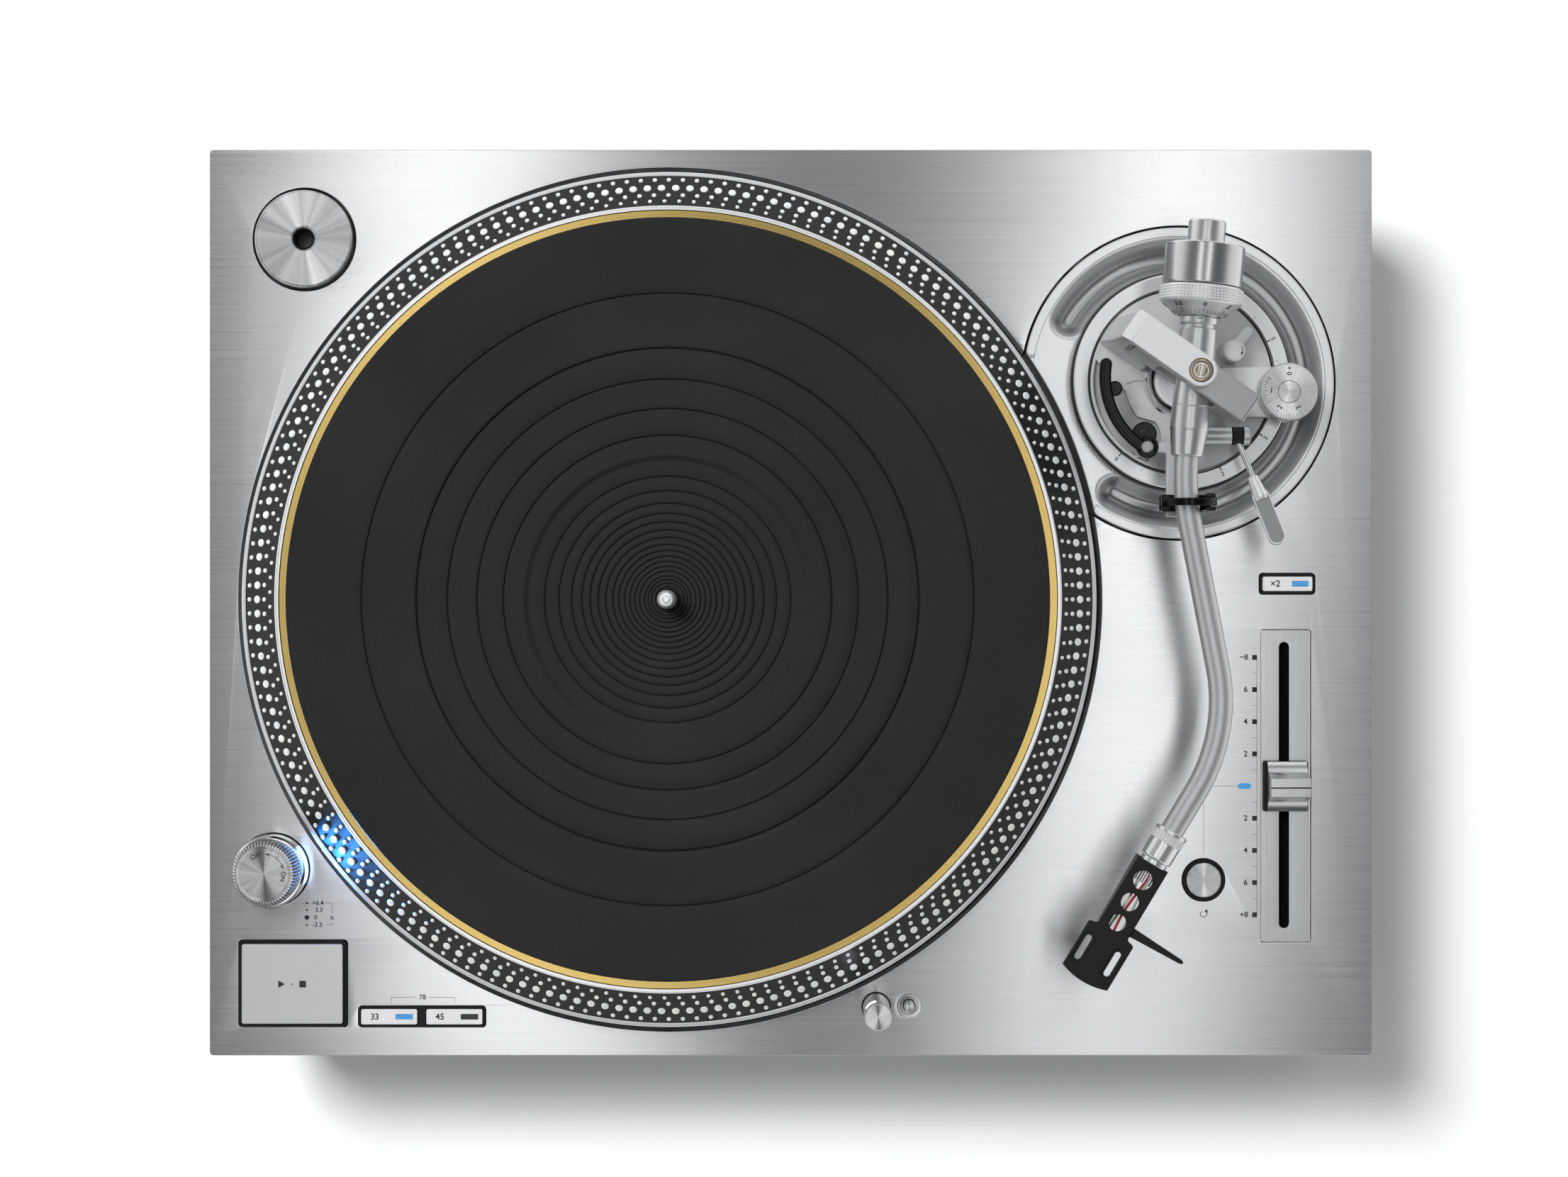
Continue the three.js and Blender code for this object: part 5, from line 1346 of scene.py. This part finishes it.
gloss_black = finish("glossy black", 0.002, 0.16, pattern=gloss, specular_ior_level=0.2)
screw_black = finish("blackened screw", 0.03, 0.3, 0.8, cast_grain(0.045, 0.02, 0.28, 0.01))
bar_section = eased([(-2.25, 0), (2.25, 0), (2.25, 3.5), (-2.25, 3.5)], 1.0, steps=5)
ridge_section = eased([(-0.7, 0), (0.7, 0), (0.7, 0.5), (-0.7, 0.5)], 0.25)
BAR_BOTTOM, BAR_TOP = 29.5, 33.0
stub, eye = polar(28.6, 189), polar(31.1, 238.8)
piece("lift_bar_curve", [
    run_along(arc(32, 167.5, 237, px, py, 48), bar_section, BAR_BOTTOM, 2.0),
    run_along(arc(32, 169.5, 233, px, py, 44), ridge_section, BAR_TOP - 0.25, 0.6),
    plate([ring(2.9, *stub, 32)], BAR_BOTTOM, BAR_TOP - 1, 0.6, 3),
    plate([ring(4.7, *boss, 48)], BAR_BOTTOM, 31.4, 0.6, 3),
    plate([ring(4.3, *eye, 40), ring(3.1, *eye, 40)], BAR_BOTTOM, BAR_TOP - 0.4, 0.4, 3),
    turned([(0, 4), (1.75, 4), (1.75, 30), (0, 30)], 24, boss)], gloss_black, "lift_bar",
      ["lift_bar"], angle=40)
slot_gap = 5 * math.sin(math.radians(8))
piece("lift_bar_screw", slotted(2.5, slot_gap, 28, boss, 31.3, 32.2, 0.25, 16), screw_black, "lift_bar")

# ---- Arm rest and clip ----
# A cast bracket on a turned pin runs under the tube to a cradle moulded in glossy black. A hinged clip of the
# same plastic holds the arm there.

BRACKET_TOP = 29
REST_X, REST_Y, CLIP_X, CLIP_HEIGHT = -2.1, -48, 5.6, 46
bracket = [(eye[0], eye[1] - 2), (px - 8.4, eye[1] - 2), (px - 8.4, py - 53), (px - 2, py - 53),
           (px - 2, eye[1] + 2), (eye[0], eye[1] + 2)]
post = [(0, 6.3), (2.6, 6.3), (2.6, BRACKET_TOP), (0, BRACKET_TOP)]
piece("arm_rest_bracket", [plate([eased(bracket, 0.8)], BRACKET_TOP - 3.4, BRACKET_TOP, 0.4, 3),
                           turned(post, 40, eye)], barrel_metal, "arm_base", ["arm_rest"])
pin_metal = finish("turned pin", 0.4, 0.36, 0.85, lathed(*eye, 0.48, 0.34, 0.36))
pin_side = [(0, 28.5), (2.9, 28.5), (2.9, 30.4), (2.3, 30.8), (2.3, 33), (1.9, 33.4), (0, 33.4)]
piece("arm_rest_pin", [turned(pin_side, 48, eye, 0.2)], pin_metal, "arm_base")
front, back = REST_Y - 3.2, REST_Y + 3.2
piece("arm_rest_cradle_body", [
    boxed(REST_X - 9.2, REST_X + 9.6, front, back, 29.3, 35.1, 0.5, 0.8),
    boxed(REST_X - 4, REST_X + 4, front, back, 34, 38.1, 0.5, 0.8),
    boxed(REST_X - 9.2, REST_X - 5.6, front, back, 30.3, 37.3, 0.5, 0.8),
    boxed(CLIP_X - 1.9, CLIP_X + 1.9, front, REST_Y - 1.6, 30.3, 48, 0.4, 0.5),
    boxed(CLIP_X - 1.9, CLIP_X + 1.9, REST_Y + 1.6, back, 30.3, 48, 0.4, 0.5)], gloss_black, "arm_base",
      ["arm_rest_cradle"])


def hooped(radius, start, stop, half_width, thick, x, y, z, edge):
    """Band round the Y axis at (x, z), between two angles, drawn out along Y."""
    outline = np.concatenate([arc(radius + thick, start, stop), arc(radius, stop, start)])
    points, faces = plate([outline], -half_width, half_width, edge, 2)
    return np.stack([points[:, 0], -points[:, 2], points[:, 1]], -1) + [x, y, z], faces


knuckle = turned([(0, -1.2), (1.9, -1.2), (1.9, 1.2), (0, 1.2)], 32, ease=0.2)
piece("arm_clip_hoop", [
    hooped(9, 12, 146, 1.4, 1.7, px + REST_X, py + REST_Y, 43, 0.35),
    laid(knuckle, px + CLIP_X, py + REST_Y, CLIP_HEIGHT),
    boxed(CLIP_X - 0.6, CLIP_X + 1.7, REST_Y - 1.3, REST_Y + 1.3, CLIP_HEIGHT - 0.5, CLIP_HEIGHT + 2.2)],
      gloss_black, "arm_clip", ["arm_clip"])

# ---- Gimbal yoke ----
# A cast hook: its foot stands on the base, its column on the platter side carries a bar over the pivot. A
# slotted screw in the bar's round end holds the gimbal's upper point.

GIMBAL_ANGLE, ARM_AXIS = -35, 43
YOKE_BOTTOM, YOKE_TOP, YOKE_REACH = 56.5, 62, 30.3
HOOK_HALF, BAR_HALF = 5.95, 6


def over_pivot(outline):
    """Outline given along and across the tilt axis, in millimetres from the pivot."""
    g = math.radians(GIMBAL_ANGLE)
    return outline @ np.array([[math.cos(g), math.sin(g)], [-math.sin(g), math.cos(g)]]) + PIVOT


def upright(part):
    """A part drawn as (along the tilt axis, height, across) stood up over the pivot."""
    points, faces = part
    return np.column_stack([over_pivot(points[:, (0, 2)]), points[:, 1]]), faces


# The bar has a round end over the pivot and a bevelled end over the column
bar_plan = np.concatenate([arc(BAR_HALF, -90, 90, 0, 0, 28),
                           [(1.2 - YOKE_REACH, BAR_HALF), (1.2 - YOKE_REACH, -BAR_HALF)]])


def bar_level(inset, shift, level):
    """Bar outline at a height, drawn in by an inset, with its bevelled end moved along it."""
    drawn_in = 1 - inset / BAR_HALF
    along, across = bar_plan.T
    along = along * np.where(along >= 0, drawn_in, 1) + np.where(along < -20, shift, 0)
    flat = over_pivot(np.column_stack([along, across * drawn_in]))
    return np.column_stack([flat, np.full(len(flat), level)])


bar_levels = [bar_level(*row) for row in (
    (0.5, 0, YOKE_BOTTOM), (0.12, -0.6, YOKE_BOTTOM + 0.3), (0, -1.0, YOKE_BOTTOM + 1),
    (0, -1.7, YOKE_TOP - 2.6), (0.05, 1.6, YOKE_TOP - 0.35), (0.25, 2.1, YOKE_TOP - 0.12),
    (0.6, 2.6, YOKE_TOP))]
# The column and its foot are one hook in side view, eased along every edge
hook = eased([(-34.6, 9.3), (-16.4, 9.3), (-15.4, 12.2), (-15.4, 21.6), (-18.4, 24.6), (-23.4, 28.6),
              (-26.2, 34), (-26.2, 52), (-25.2, 55), (-21, 57), (-21, 59), (-31.2, 59), (-32.2, 44),
              (-33.4, 28), (-34.6, 14)], 0.9)
yoke_paint = finish("satin cast paint", 0.66, 0.36, 0.5, cast_grain(0.7, 0.62, 0.36, 0.012))
piece("gimbal_yoke_cast", [
    (np.concatenate(bar_levels), capped(len(bar_levels), len(bar_plan))),
    upright(plate([hook], -HOOK_HALF, HOOK_HALF, 0.9, 4))],
      yoke_paint, "arm_base", ["gimbal_yoke"], angle=32)
screw_brass = finish("nickelled brass", (0.5, 0.44, 0.35), 0.26, 0.9, lambda place: {
    "Base Color": place.noise(500, 3).mix((0.56, 0.5, 0.41, 1), (0.3, 0.25, 0.17, 1)),
    "Roughness": 0.2 + 0.1 * place.noise(900)})
screw_ring = [(2.75, 60), (4.25, 60), (4.25, 62.35), (3.4, 62.5), (2.75, 62.1)]
gap_shade_ring = [(4.27, 61.9), (4.5, 61.9), (4.5, 62.14), (4.27, 62.14)]
piece("pivot_screw_ring", [turned(screw_ring, 64, PIVOT, 0.2, True)], screw_brass, "arm_base",
      ["pivot_screw"])
# A black ring round the screw and a black disc under its slotted head are painted shade in the gaps
piece("pivot_screw_gap_shade", [turned(gap_shade_ring, 64, PIVOT, 0.04, True),
                          turned([(0, 61.2), (2.8, 61.2), (2.8, 61.5), (0, 61.5)], 48, PIVOT)],
      black_moulding, "arm_base")
piece("pivot_screw_head", slotted(2.35, 0.75, 78, PIVOT, 61.4, 62.35, 0.2, 20), screw_brass, "arm_base")

# ---- Gimbal ring ----
# The ring turns on the yoke's upright points and holds the arm's tilt bearings. It is a frame machined from
# one aluminium bar, with a satin face and eased edges.

RING_HALF, RING_WIDTH, RING_BOTTOM, RING_TOP = 24.3, 11.8, 31.5, 54.5
ring_satin = finish("machined satin", 0.5, 0.38, 1, blasted(0.54, 0.46, 0.38))
frame_view = [rounded_box(2 * RING_HALF, RING_TOP - RING_BOTTOM, 1, 0, (RING_TOP + RING_BOTTOM) / 2, 3),
              rounded_box(25.2, 16, 1.5, 0, ARM_AXIS, 4)]
piece("gimbal_ring_frame", [upright(plate(frame_view, -RING_WIDTH / 2, RING_WIDTH / 2, 0.6, 3)),
                            turned([(0, 34), (1.2, 34), (0, 34.7)], 24, PIVOT)], ring_satin, "gimbal",
      ["gimbal_ring"], angle=30)

# ---- Arm housing ----
# A turned housing carries the tube in front and the weight's shaft behind. A collar, a groove and an index
# line for the force dial are cut into it.

ARM_HEADING = -5.1


def towards(heading):
    """Flat direction forward at a heading in degrees."""
    turn = math.radians(heading)
    return np.array([math.sin(turn), -math.cos(turn)])


def on_arm(part):
    """A part made along Z about the arm's axis, with Z counted forward from the pivot."""
    return laid(part, px, py, ARM_AXIS, ARM_HEADING)


def ringed(heading, bright, dark, rough, pitch=2200):
    """Turned metal whose axis lies at a heading: fine rings round it in colour and gloss."""
    def pattern(place):
        along = place.stretched(1, 1, 1, at=(*PIVOT, 0), turn=math.radians(heading)).axis(1)
        line = along.lines(pitch)
        return {
            "Base Color": line.span(0.3, 0.7).greys(dark, bright),
            "Roughness": rough + 0.12 * (line - 0.5) + 0.05 * (place.noise(60, 2) - 0.5),
            "Normal": line.bump(0.003),
        }
    return pattern


def wrapped(forward, level, angle, faces):
    """Points about the arm's axis: forward along it and out by a radius at an angle from the top."""
    h = math.radians(ARM_HEADING)
    across = np.outer(level * np.sin(angle), [math.cos(h), math.sin(h)])
    flat = np.outer(forward, towards(ARM_HEADING)) + across + PIVOT
    return np.column_stack([flat, ARM_AXIS + level * np.cos(angle)]), faces


def over_arm(path, radius, width):
    """Printed line wrapped over the top of a cylinder about the arm's axis, from (forward, round it) points
    in millimetres."""
    points, faces = printed(path, width, 0)
    forward, around, rise = points.T
    return wrapped(forward, radius + rise, around / radius, faces)


housing_metal = finish("satin housing", 0.76, 0.34, 0.95, ringed(ARM_HEADING, 0.82, 0.7, 0.34))
housing = [(0, -58), (6.2, -58), (6.95, -57.2), (6.95, -21.8), (6.6, -21.6), (6.6, -21.4), (6.95, -21.2),
           (6.95, -18.7), (6.1, -18.3), (6.1, -17.3), (7, -16.9), (7, -3), (6.35, 2.5), (6.9, 9), (7.1, 12),
           (6.95, 12.1), (6.95, 12.35), (7.15, 12.5), (7.25, 20.6), (7.0, 21.4), (5.95, 30.4), (5.6, 31),
           (0, 31)]
tilt_pin = turned([(0, -12.3), (2, -12.3), (2, 12.3), (0, 12.3)], 32)
piece("arm_housing_turned", [on_arm(turned(housing, 96, ease=0.35)),
                             laid(tilt_pin, px, py, ARM_AXIS, GIMBAL_ANGLE + 90)],
      housing_metal, "arm", ["arm_housing"], angle=40)
piece("arm_housing_index", [over_arm([(-21.1, 0), (-18.8, 0)], 6.97, 0.26),
                            over_arm([(-20.4, 0.3 * step) for step in range(-6, 3)], 6.97, 0.3)],
      ink, "arm")

# ---- Counterweight ----
# The weight is a brushed steel drum on a threaded sleeve. In front of it a dial with a beaded knurl and a
# printed cone shows the stylus force.


def beaded(radius, height, start, stop, rows, count):
    """Sleeve of beads: r + h |sin(pi j)|^0.6 |sin(pi k)|^0.6, where j counts rows along it and k round it."""
    along = np.linspace(0, rows, rows * 6 + 1)[:, None]
    a = np.linspace(0, count, count * 6, endpoint=False)[None, :]
    r = radius + height * np.abs(np.sin(np.pi * along) * np.sin(np.pi * a)) ** 0.6
    turn = 2 * np.pi * a / count
    z = start + (stop - start) * along / rows + 0 * a
    return np.stack([r * np.cos(turn), r * np.sin(turn), z], -1).reshape(-1, 3), quads(len(along), a.shape[1])


# The dial's cone narrows from its knurled rim towards the pivot
CONE_RIM, CONE_TIP = (14.7, -26.1), (8.8, -21.7)
CONE_RADIUS, CONE_BACK = 11.9, 23.9


def on_cone(part):
    """A flat printed part wrapped onto the dial's cone: X runs round it in millimetres at its middle, Y up
    its slope towards the rear, and Z is the height above it."""
    points, faces = part
    slope = math.atan2(CONE_RIM[0] - CONE_TIP[0], CONE_TIP[1] - CONE_RIM[1])
    around, up, rise = points.T
    level = CONE_RADIUS + up * math.sin(slope) + rise * math.cos(slope)
    back = CONE_BACK + up * math.cos(slope) - rise * math.sin(slope)
    return wrapped(-back, level, around / CONE_RADIUS, faces)


weight_metal = finish("brushed weight", 0.68, 0.26, 1, ringed(ARM_HEADING, 0.8, 0.54, 0.26, 5200))
dial_metal = finish("satin dial", 0.84, 0.36, 0.8, ringed(ARM_HEADING, 0.88, 0.78, 0.36))
bead_metal = finish("beaded knurl", 0.9, 0.26, 0.8, blasted(0.94, 0.84, 0.26))
sleeve = [(7.25, -48.2), (7.75, -48.2), (7.75, -22.4), (7.25, -22.4)]
drum = [(8.1, -48.5), (13.9, -48.5), (14.8, -48.1), (14.8, -33.2), (14.2, -32.8), (8.1, -32.8)]
cone = [(8.1, -32.5), (15.0, -32.5), (15.25, -32.2), (15.25, -26.7), CONE_RIM, CONE_TIP, (8.1, -21.6)]
piece("weight_sleeve_tube", [on_arm(turned(sleeve, 64, ease=0.1, closed=True))], housing_metal,
      "weight_sleeve", ["weight_sleeve"])
piece("counterweight_drum", [on_arm(turned(drum, 128, ease=0.5, closed=True))], weight_metal, "counterweight",
      ["counterweight"])
piece("force_dial_cone", [on_arm(turned(cone, 128, ease=0.25, closed=True))], dial_metal, "force_dial",
      ["force_dial"])
piece("force_dial_beads", [on_arm(beaded(15.0, 0.8, -32.1, -26.8, 5, 66))], bead_metal, "force_dial",
      angle=80)
DIAL_STEPS = 40
parts = []
for step in range(DIAL_STEPS):
    at = step * (2 * np.pi * CONE_RADIUS / DIAL_STEPS)
    reach, width = (-1.6, 0.16) if step % 5 else (-0.4, 0.2)
    parts.append(on_cone(printed([(at, -3.4), (at, reach)], width, 0.03)))
    if step % 5 == 0:
        parts.append(on_cone(sign(f"{step / 10:g}".lstrip("0") or "0", 2.6, at, 1.6, 0.03)))
piece("force_dial_scale", parts, ink, "force_dial")

# ---- Arm tube ----
# One drawn aluminium tube with two smooth bends: it leaves the housing, turns out and then in towards the
# record.

MIDDLE_HEADING, HEAD_HEADING = 10.9, -31
TUBE_RADIUS, NUT_LENGTH = 4.5, 12.4


def bend_points(corner, before, after, radius, steps):
    """Arc that rounds a corner between two headings: it starts r tan(turn / 2) before the corner."""
    turn = math.radians(after - before)
    side = math.copysign(1, turn)
    start = corner - towards(before) * radius * math.tan(abs(turn) / 2)
    b = math.radians(before)
    centre = start + side * radius * np.array([math.cos(b), math.sin(b)])
    angles = np.radians(np.linspace(before, after, steps + 1))
    return centre - side * radius * np.stack([np.cos(angles), np.sin(angles)], -1)


def swept(path, radius, sides):
    """Round bar along a level path of (x, y, z): circles of r (side cos a + up sin a), with closed ends."""
    way = np.gradient(path, axis=0)
    way /= np.linalg.norm(way, axis=1, keepdims=True)
    side = np.cross(way, [0, 0, 1])
    side /= np.linalg.norm(side, axis=1, keepdims=True)
    up = np.cross(side, way)
    a = np.linspace(0, 2 * np.pi, sides, endpoint=False)[None, :, None]
    points = path[:, None] + radius * (side[:, None] * np.cos(a) + up[:, None] * np.sin(a))
    return points.reshape(-1, 3), capped(len(path), sides)


def drawn(place):
    """Drawn tube, bead-blasted very finely: soft long clouds and a tiny grain."""
    grain = place.noise(3800, 2, 0.6)
    cloud = place.stretched(60, 14, 60).noise(1, 2)
    return {"Base Color": (0.4 * grain + 0.6 * cloud).span(0.3, 0.7).greys(0.6, 0.68),
            "Roughness": 0.42 + 0.08 * (grain - 0.5) + 0.05 * (cloud - 0.5), "Normal": grain.bump(0.006)}


corner_1 = PIVOT + towards(ARM_HEADING) * 43.6
corner_2 = corner_1 + towards(MIDDLE_HEADING) * 92.7
nut_rear = corner_2 + towards(HEAD_HEADING) * 42.4
tube_path = np.concatenate([
    [PIVOT + towards(ARM_HEADING) * 30.6], bend_points(corner_1, ARM_HEADING, MIDDLE_HEADING, 90, 18),
    bend_points(corner_2, MIDDLE_HEADING, HEAD_HEADING, 66, 44), [nut_rear - 6 * towards(HEAD_HEADING)],
    [nut_rear + 0.6 * towards(HEAD_HEADING)]])
tube_path = np.column_stack([tube_path, np.full(len(tube_path), ARM_AXIS)])
tube_metal = finish("drawn tube", 0.64, 0.42, 0.85, drawn)
piece("arm_tube_drawn", [swept(tube_path, TUBE_RADIUS, 48)], tube_metal, "arm", ["arm_tube"],
      angle=50, flat=False)

# ---- Headshell nut ----
# The turned locking nut has a diamond knurl at its rear, a smooth sleeve in front and a thin bright ring. It
# draws the headshell's plug into the tube.


def on_head(part):
    """A part made along Z about the head's axis, with Z counted forward from the nut's rear."""
    return laid(part, *nut_rear, ARM_AXIS, HEAD_HEADING)


nut_metal = finish("turned nut", 0.86, 0.28, 0.9, ringed(HEAD_HEADING, 0.92, 0.78, 0.28))
nut_side = [(0, 0.1), (5.9, 0.1), (6.5, 0.4), (6.5, 1.7), (6.1, 1.9), (6.1, 5), (6.3, 5.3), (6.25, 11.9),
            (5.9, NUT_LENGTH), (3.8, NUT_LENGTH), (3.8, 3), (0, 3)]
piece("headshell_nut_sleeve", [on_head(turned(nut_side, 72, ease=0.2))], nut_metal, "headshell_nut",
      ["headshell_nut"], angle=40)
piece("headshell_nut_knurl", [on_head(beaded(6.1, 0.5, 1.9, 5.2, 4, 30))], bead_metal, "headshell_nut",
      angle=80)

# ---- Headshell ----
# A light black shell: a narrow neck with three round holes over the leads and a wide front with two slots
# for the cartridge's screws. Its sides are turned down as thin rails.

HEAD_REAR = NUT_LENGTH + 1.8
NECK, FRONT, STEP_AT, TIP_AT, SHELL_TOP = 6.4, 9.7, HEAD_REAR + 30.5, HEAD_REAR + 49.6, 3


def on_shell(part):
    """A flat part drawn with X to the head's right and Y back, counted from the nut's rear."""
    points, faces = part
    h = math.radians(HEAD_HEADING)
    right, back, rise = points.T
    flat = np.outer(right, [math.cos(h), math.sin(h)]) - np.outer(back, towards(HEAD_HEADING)) + nut_rear
    return np.column_stack([flat, ARM_AXIS + rise]), faces


def standing(outline, half, side):
    """Side view of (Y, height) points, made that thick at a distance to the right."""
    points, faces = plate([outline], -half, half, 0.15)
    return on_shell((np.column_stack([points[:, 2] + side, points[:, 0], points[:, 1]]), faces))


def anodized(place):
    """Matt black anodizing over fine blasting."""
    grain = place.noise(3600, 2, 0.6)
    return {"Base Color": grain.greys(0.004, 0.011), "Roughness": 0.42 + 0.14 * (grain - 0.5),
            "Normal": grain.bump(0.012)}


left_side = np.concatenate([
    [(-NECK, -HEAD_REAR), (-NECK, -STEP_AT + 2)], arc(1.6, 0, -90, -NECK - 1.6, -STEP_AT + 1.9, 6),
    [(-FRONT + 0.4, -STEP_AT), (-FRONT, -STEP_AT - 0.5), (-FRONT, -TIP_AT)]])
tip_curve = arc(27, 249, 291, 0, -TIP_AT + 25.2, 20)[1:-1]
shell_outline = np.concatenate([left_side, tip_curve, (left_side * [-1, 1])[::-1]])
round_holes = [ring(radius, 0, -HEAD_REAR - at, 48) for at, radius in ((7.4, 3.75), (16.9, 3.5), (25.9, 3.3))]
# Two screw slots half an inch apart, each at the bottom of a wider sunken one
slots, sunk = ([rounded_box(width, length, width / 2, x, -HEAD_REAR - 40.2, 8) for x in (-6.35, 6.35)]
               for width, length in ((2.6, 10.4), (4.6, 12.6)))
rail = [(-HEAD_REAR, 0.5), (-HEAD_REAR, -5), (-HEAD_REAR - 6, -5), (-HEAD_REAR - 29, -1.4),
        (-HEAD_REAR - 29, 0.5)]
shell_black = finish("black anodizing", 0.008, 0.42, pattern=anodized, specular_ior_level=0.25)
piece("headshell_plate", [
    on_shell(plate([shell_outline] + round_holes + sunk, 0, SHELL_TOP, 0.5, 3)),
    on_shell(plate([shell_outline * 0.985 - [0, 0.45]] + round_holes + slots, 0.1, SHELL_TOP - 0.9, 0.15)),
    on_shell(plate([rounded_box(2 * NECK, 3.2, 0.5, 0, -HEAD_REAR - 1.6)], -5, 1, 0.3, 2)),
    standing(rail, 0.8, NECK - 0.8), standing(rail, 0.8, 0.8 - NECK)],
      shell_black, "headshell", ["headshell"], angle=30)
plug = [(0, 2.8), (3.5, 2.8), (3.5, NUT_LENGTH + 0.3), (5.4, NUT_LENGTH + 0.3), (5.4, HEAD_REAR + 0.4),
        (0, HEAD_REAR + 0.4)]
piece("headshell_plug", [on_head(turned(plug, 56, ease=0.2))], nut_metal, "headshell")
lift_half = np.array([(0, 1.9), (0.8, 1.75), (21, 0.85), (21.9, 0.5), (22.2, 0)])
lift_outline = np.concatenate([lift_half, (lift_half * [1, -1])[-2::-1]]) + [NECK + 0.3, -HEAD_REAR - 26.3]
piece("finger_lift_arm", [on_shell(plate([lift_outline], -0.1, 2.1, 0.5, 3))], shell_black, "headshell",
      ["finger_lift"])

# ---- Headshell leads ----
# Four thin insulated copper wires run under the shell's holes. Crimped tinned sleeves push them onto the pins
# of the plug.


def insulation(tint):
    """Soft insulation: slightly uneven in colour and dull where it bends."""
    def pattern(place):
        return {"Base Color": place.noise(300, 2).mix((*(0.85 * value for value in tint), 1), (*tint, 1)),
                "Roughness": 0.35 + 0.2 * place.noise(600, 2)}
    return pattern


wire_tints = {"blue": (0.02, 0.03, 0.06), "white": (0.6, 0.58, 0.54), "red": (0.3, 0.012, 0.025),
              "green": (0.3, 0.33, 0.3)}
t = np.linspace(0, 1, 24)
for (name, tint), side in zip(wire_tints.items(), (-3, -1, 1, 3)):
    sway = side + 0.5 * np.sin(2 * np.pi * t + side)
    wire = np.stack([sway, -HEAD_REAR - 4.6 - 30.5 * t, -2.2 + 0.35 * np.sin(3 * np.pi * t + side)], -1)
    sleeve = np.array([(side, -HEAD_REAR - back, -2.2) for back in (3.6, 4.5, 8.4)])
    piece(f"headshell_lead_{name}", [on_shell(swept(wire, 0.5, 12))],
          finish(name + " insulation", tint, 0.4, pattern=insulation(tint)), "headshell",
          ["headshell_leads"] if side == -3 else ())
    piece(f"headshell_sleeve_{name}", [on_shell(swept(sleeve, 0.85, 16))], nut_metal, "headshell")

# ---- Floor, light and camera ----
# A pale sheet under the player, two long soft boxes on either side of the camera with a dark gap between
# them, a key lamp high up at the rear left, and a camera that looks straight down.

WHITE = (1, 1, 1, 1)


def sheet_tone(place):
    """Pale paper with a very faint cloudiness."""
    return {"Base Color": place.noise(3, 2).mix((0.9, 0.9, 0.9, 1), (0.92, 0.92, 0.92, 1))}


bpy.ops.mesh.primitive_plane_add(size=14, location=(0, 0, 0))
floor = bpy.context.active_object
floor.name = "floor"
pale_sheet = finish("pale sheet", (0.9, 0.9, 0.9), 0.9, pattern=sheet_tone)
paper = Wire(pale_sheet.node_tree, pale_sheet.node_tree.nodes["Principled BSDF"].outputs[0])
# The camera and the metal see the sheet a little lifted, and far from the player it runs up into the white
# backdrop
seen = paper.node("LightPath", output="Is Camera Ray") + paper.node("LightPath", output="Is Glossy Ray")
lift, backdrop = (paper.node("Emission", {}, {"Color": WHITE, "Strength": strength})
                  for strength in (0.1, 1.0))
shown = paper.node("MixShader", {}, {0: seen, 1: paper, 2: paper.node("AddShader", {}, {0: paper, 1: lift})})
place = paper.node("TexCoord", output="Object")
away = (place.axis(0) ** 2 + place.axis(1) ** 2) ** 0.5
sheet = paper.node("MixShader", {}, {0: seen * away.span(0.6, 2.0), 1: shown, 2: backdrop})
sheet.tree.links.new(sheet.socket, sheet.tree.nodes["Material Output"].inputs["Surface"])
floor.data.materials.append(pale_sheet)

lamp_panel("left box", (-0.32, 0.15, 1.75), (0.25, 1.9), 2.945, (0, 0, -1), 6.5)
lamp_panel("right box", (0.38, 0.35, 1.75), (0.24, 1.9), 2.736, (0, 0, -1), -8)
key_at = Vector((-1.25, 1.1, 3.1))
key = lamp_panel("key", key_at, (1.0, 1.0), 130, Vector((0, 0, 0.1)) - key_at)
key.visible_glossy = False

world = bpy.data.worlds.new("studio")
world.use_nodes = True
bpy.context.scene.world = world
air = Wire(world.node_tree)
heading = air.node("TexCoord", output=0)
height = heading.axis(2)
sky = height.span(-0.2, 1.0).mix((0.36, 0.36, 0.36, 1), (0.09, 0.095, 0.10, 1))
uneven = air.node("VectorMath", {"operation": "SCALE"},
                  {0: sky, 3: 0.9 + 0.7 * heading.axis(1) - 0.1 * heading.axis(0)})
# Metal mirrors the white backdrop that stands round the sheet, up to the dark overhead
mirrored = height.span(0.6, 0.25) * air.node("LightPath", output="Is Glossy Ray")
room = (0.8 * mirrored).mix(uneven, WHITE)
shade = air.node("LightPath", output="Is Camera Ray").mix(room, WHITE)
air.tree.links.new(shade.socket, air.tree.nodes["Background"].inputs["Color"])

camera = bpy.data.cameras.new("camera")
camera.lens = 64.5
camera.sensor_width = 36
camera.shift_x, camera.shift_y = -0.0043, 0.0090
camera.clip_end = 50
eye = bpy.data.objects.new("camera", camera)
eye.location = (0, 0, 1.199)
bpy.context.scene.collection.objects.link(eye)
bpy.context.scene.camera = eye
bpy.context.scene.view_settings.view_transform = "Standard"
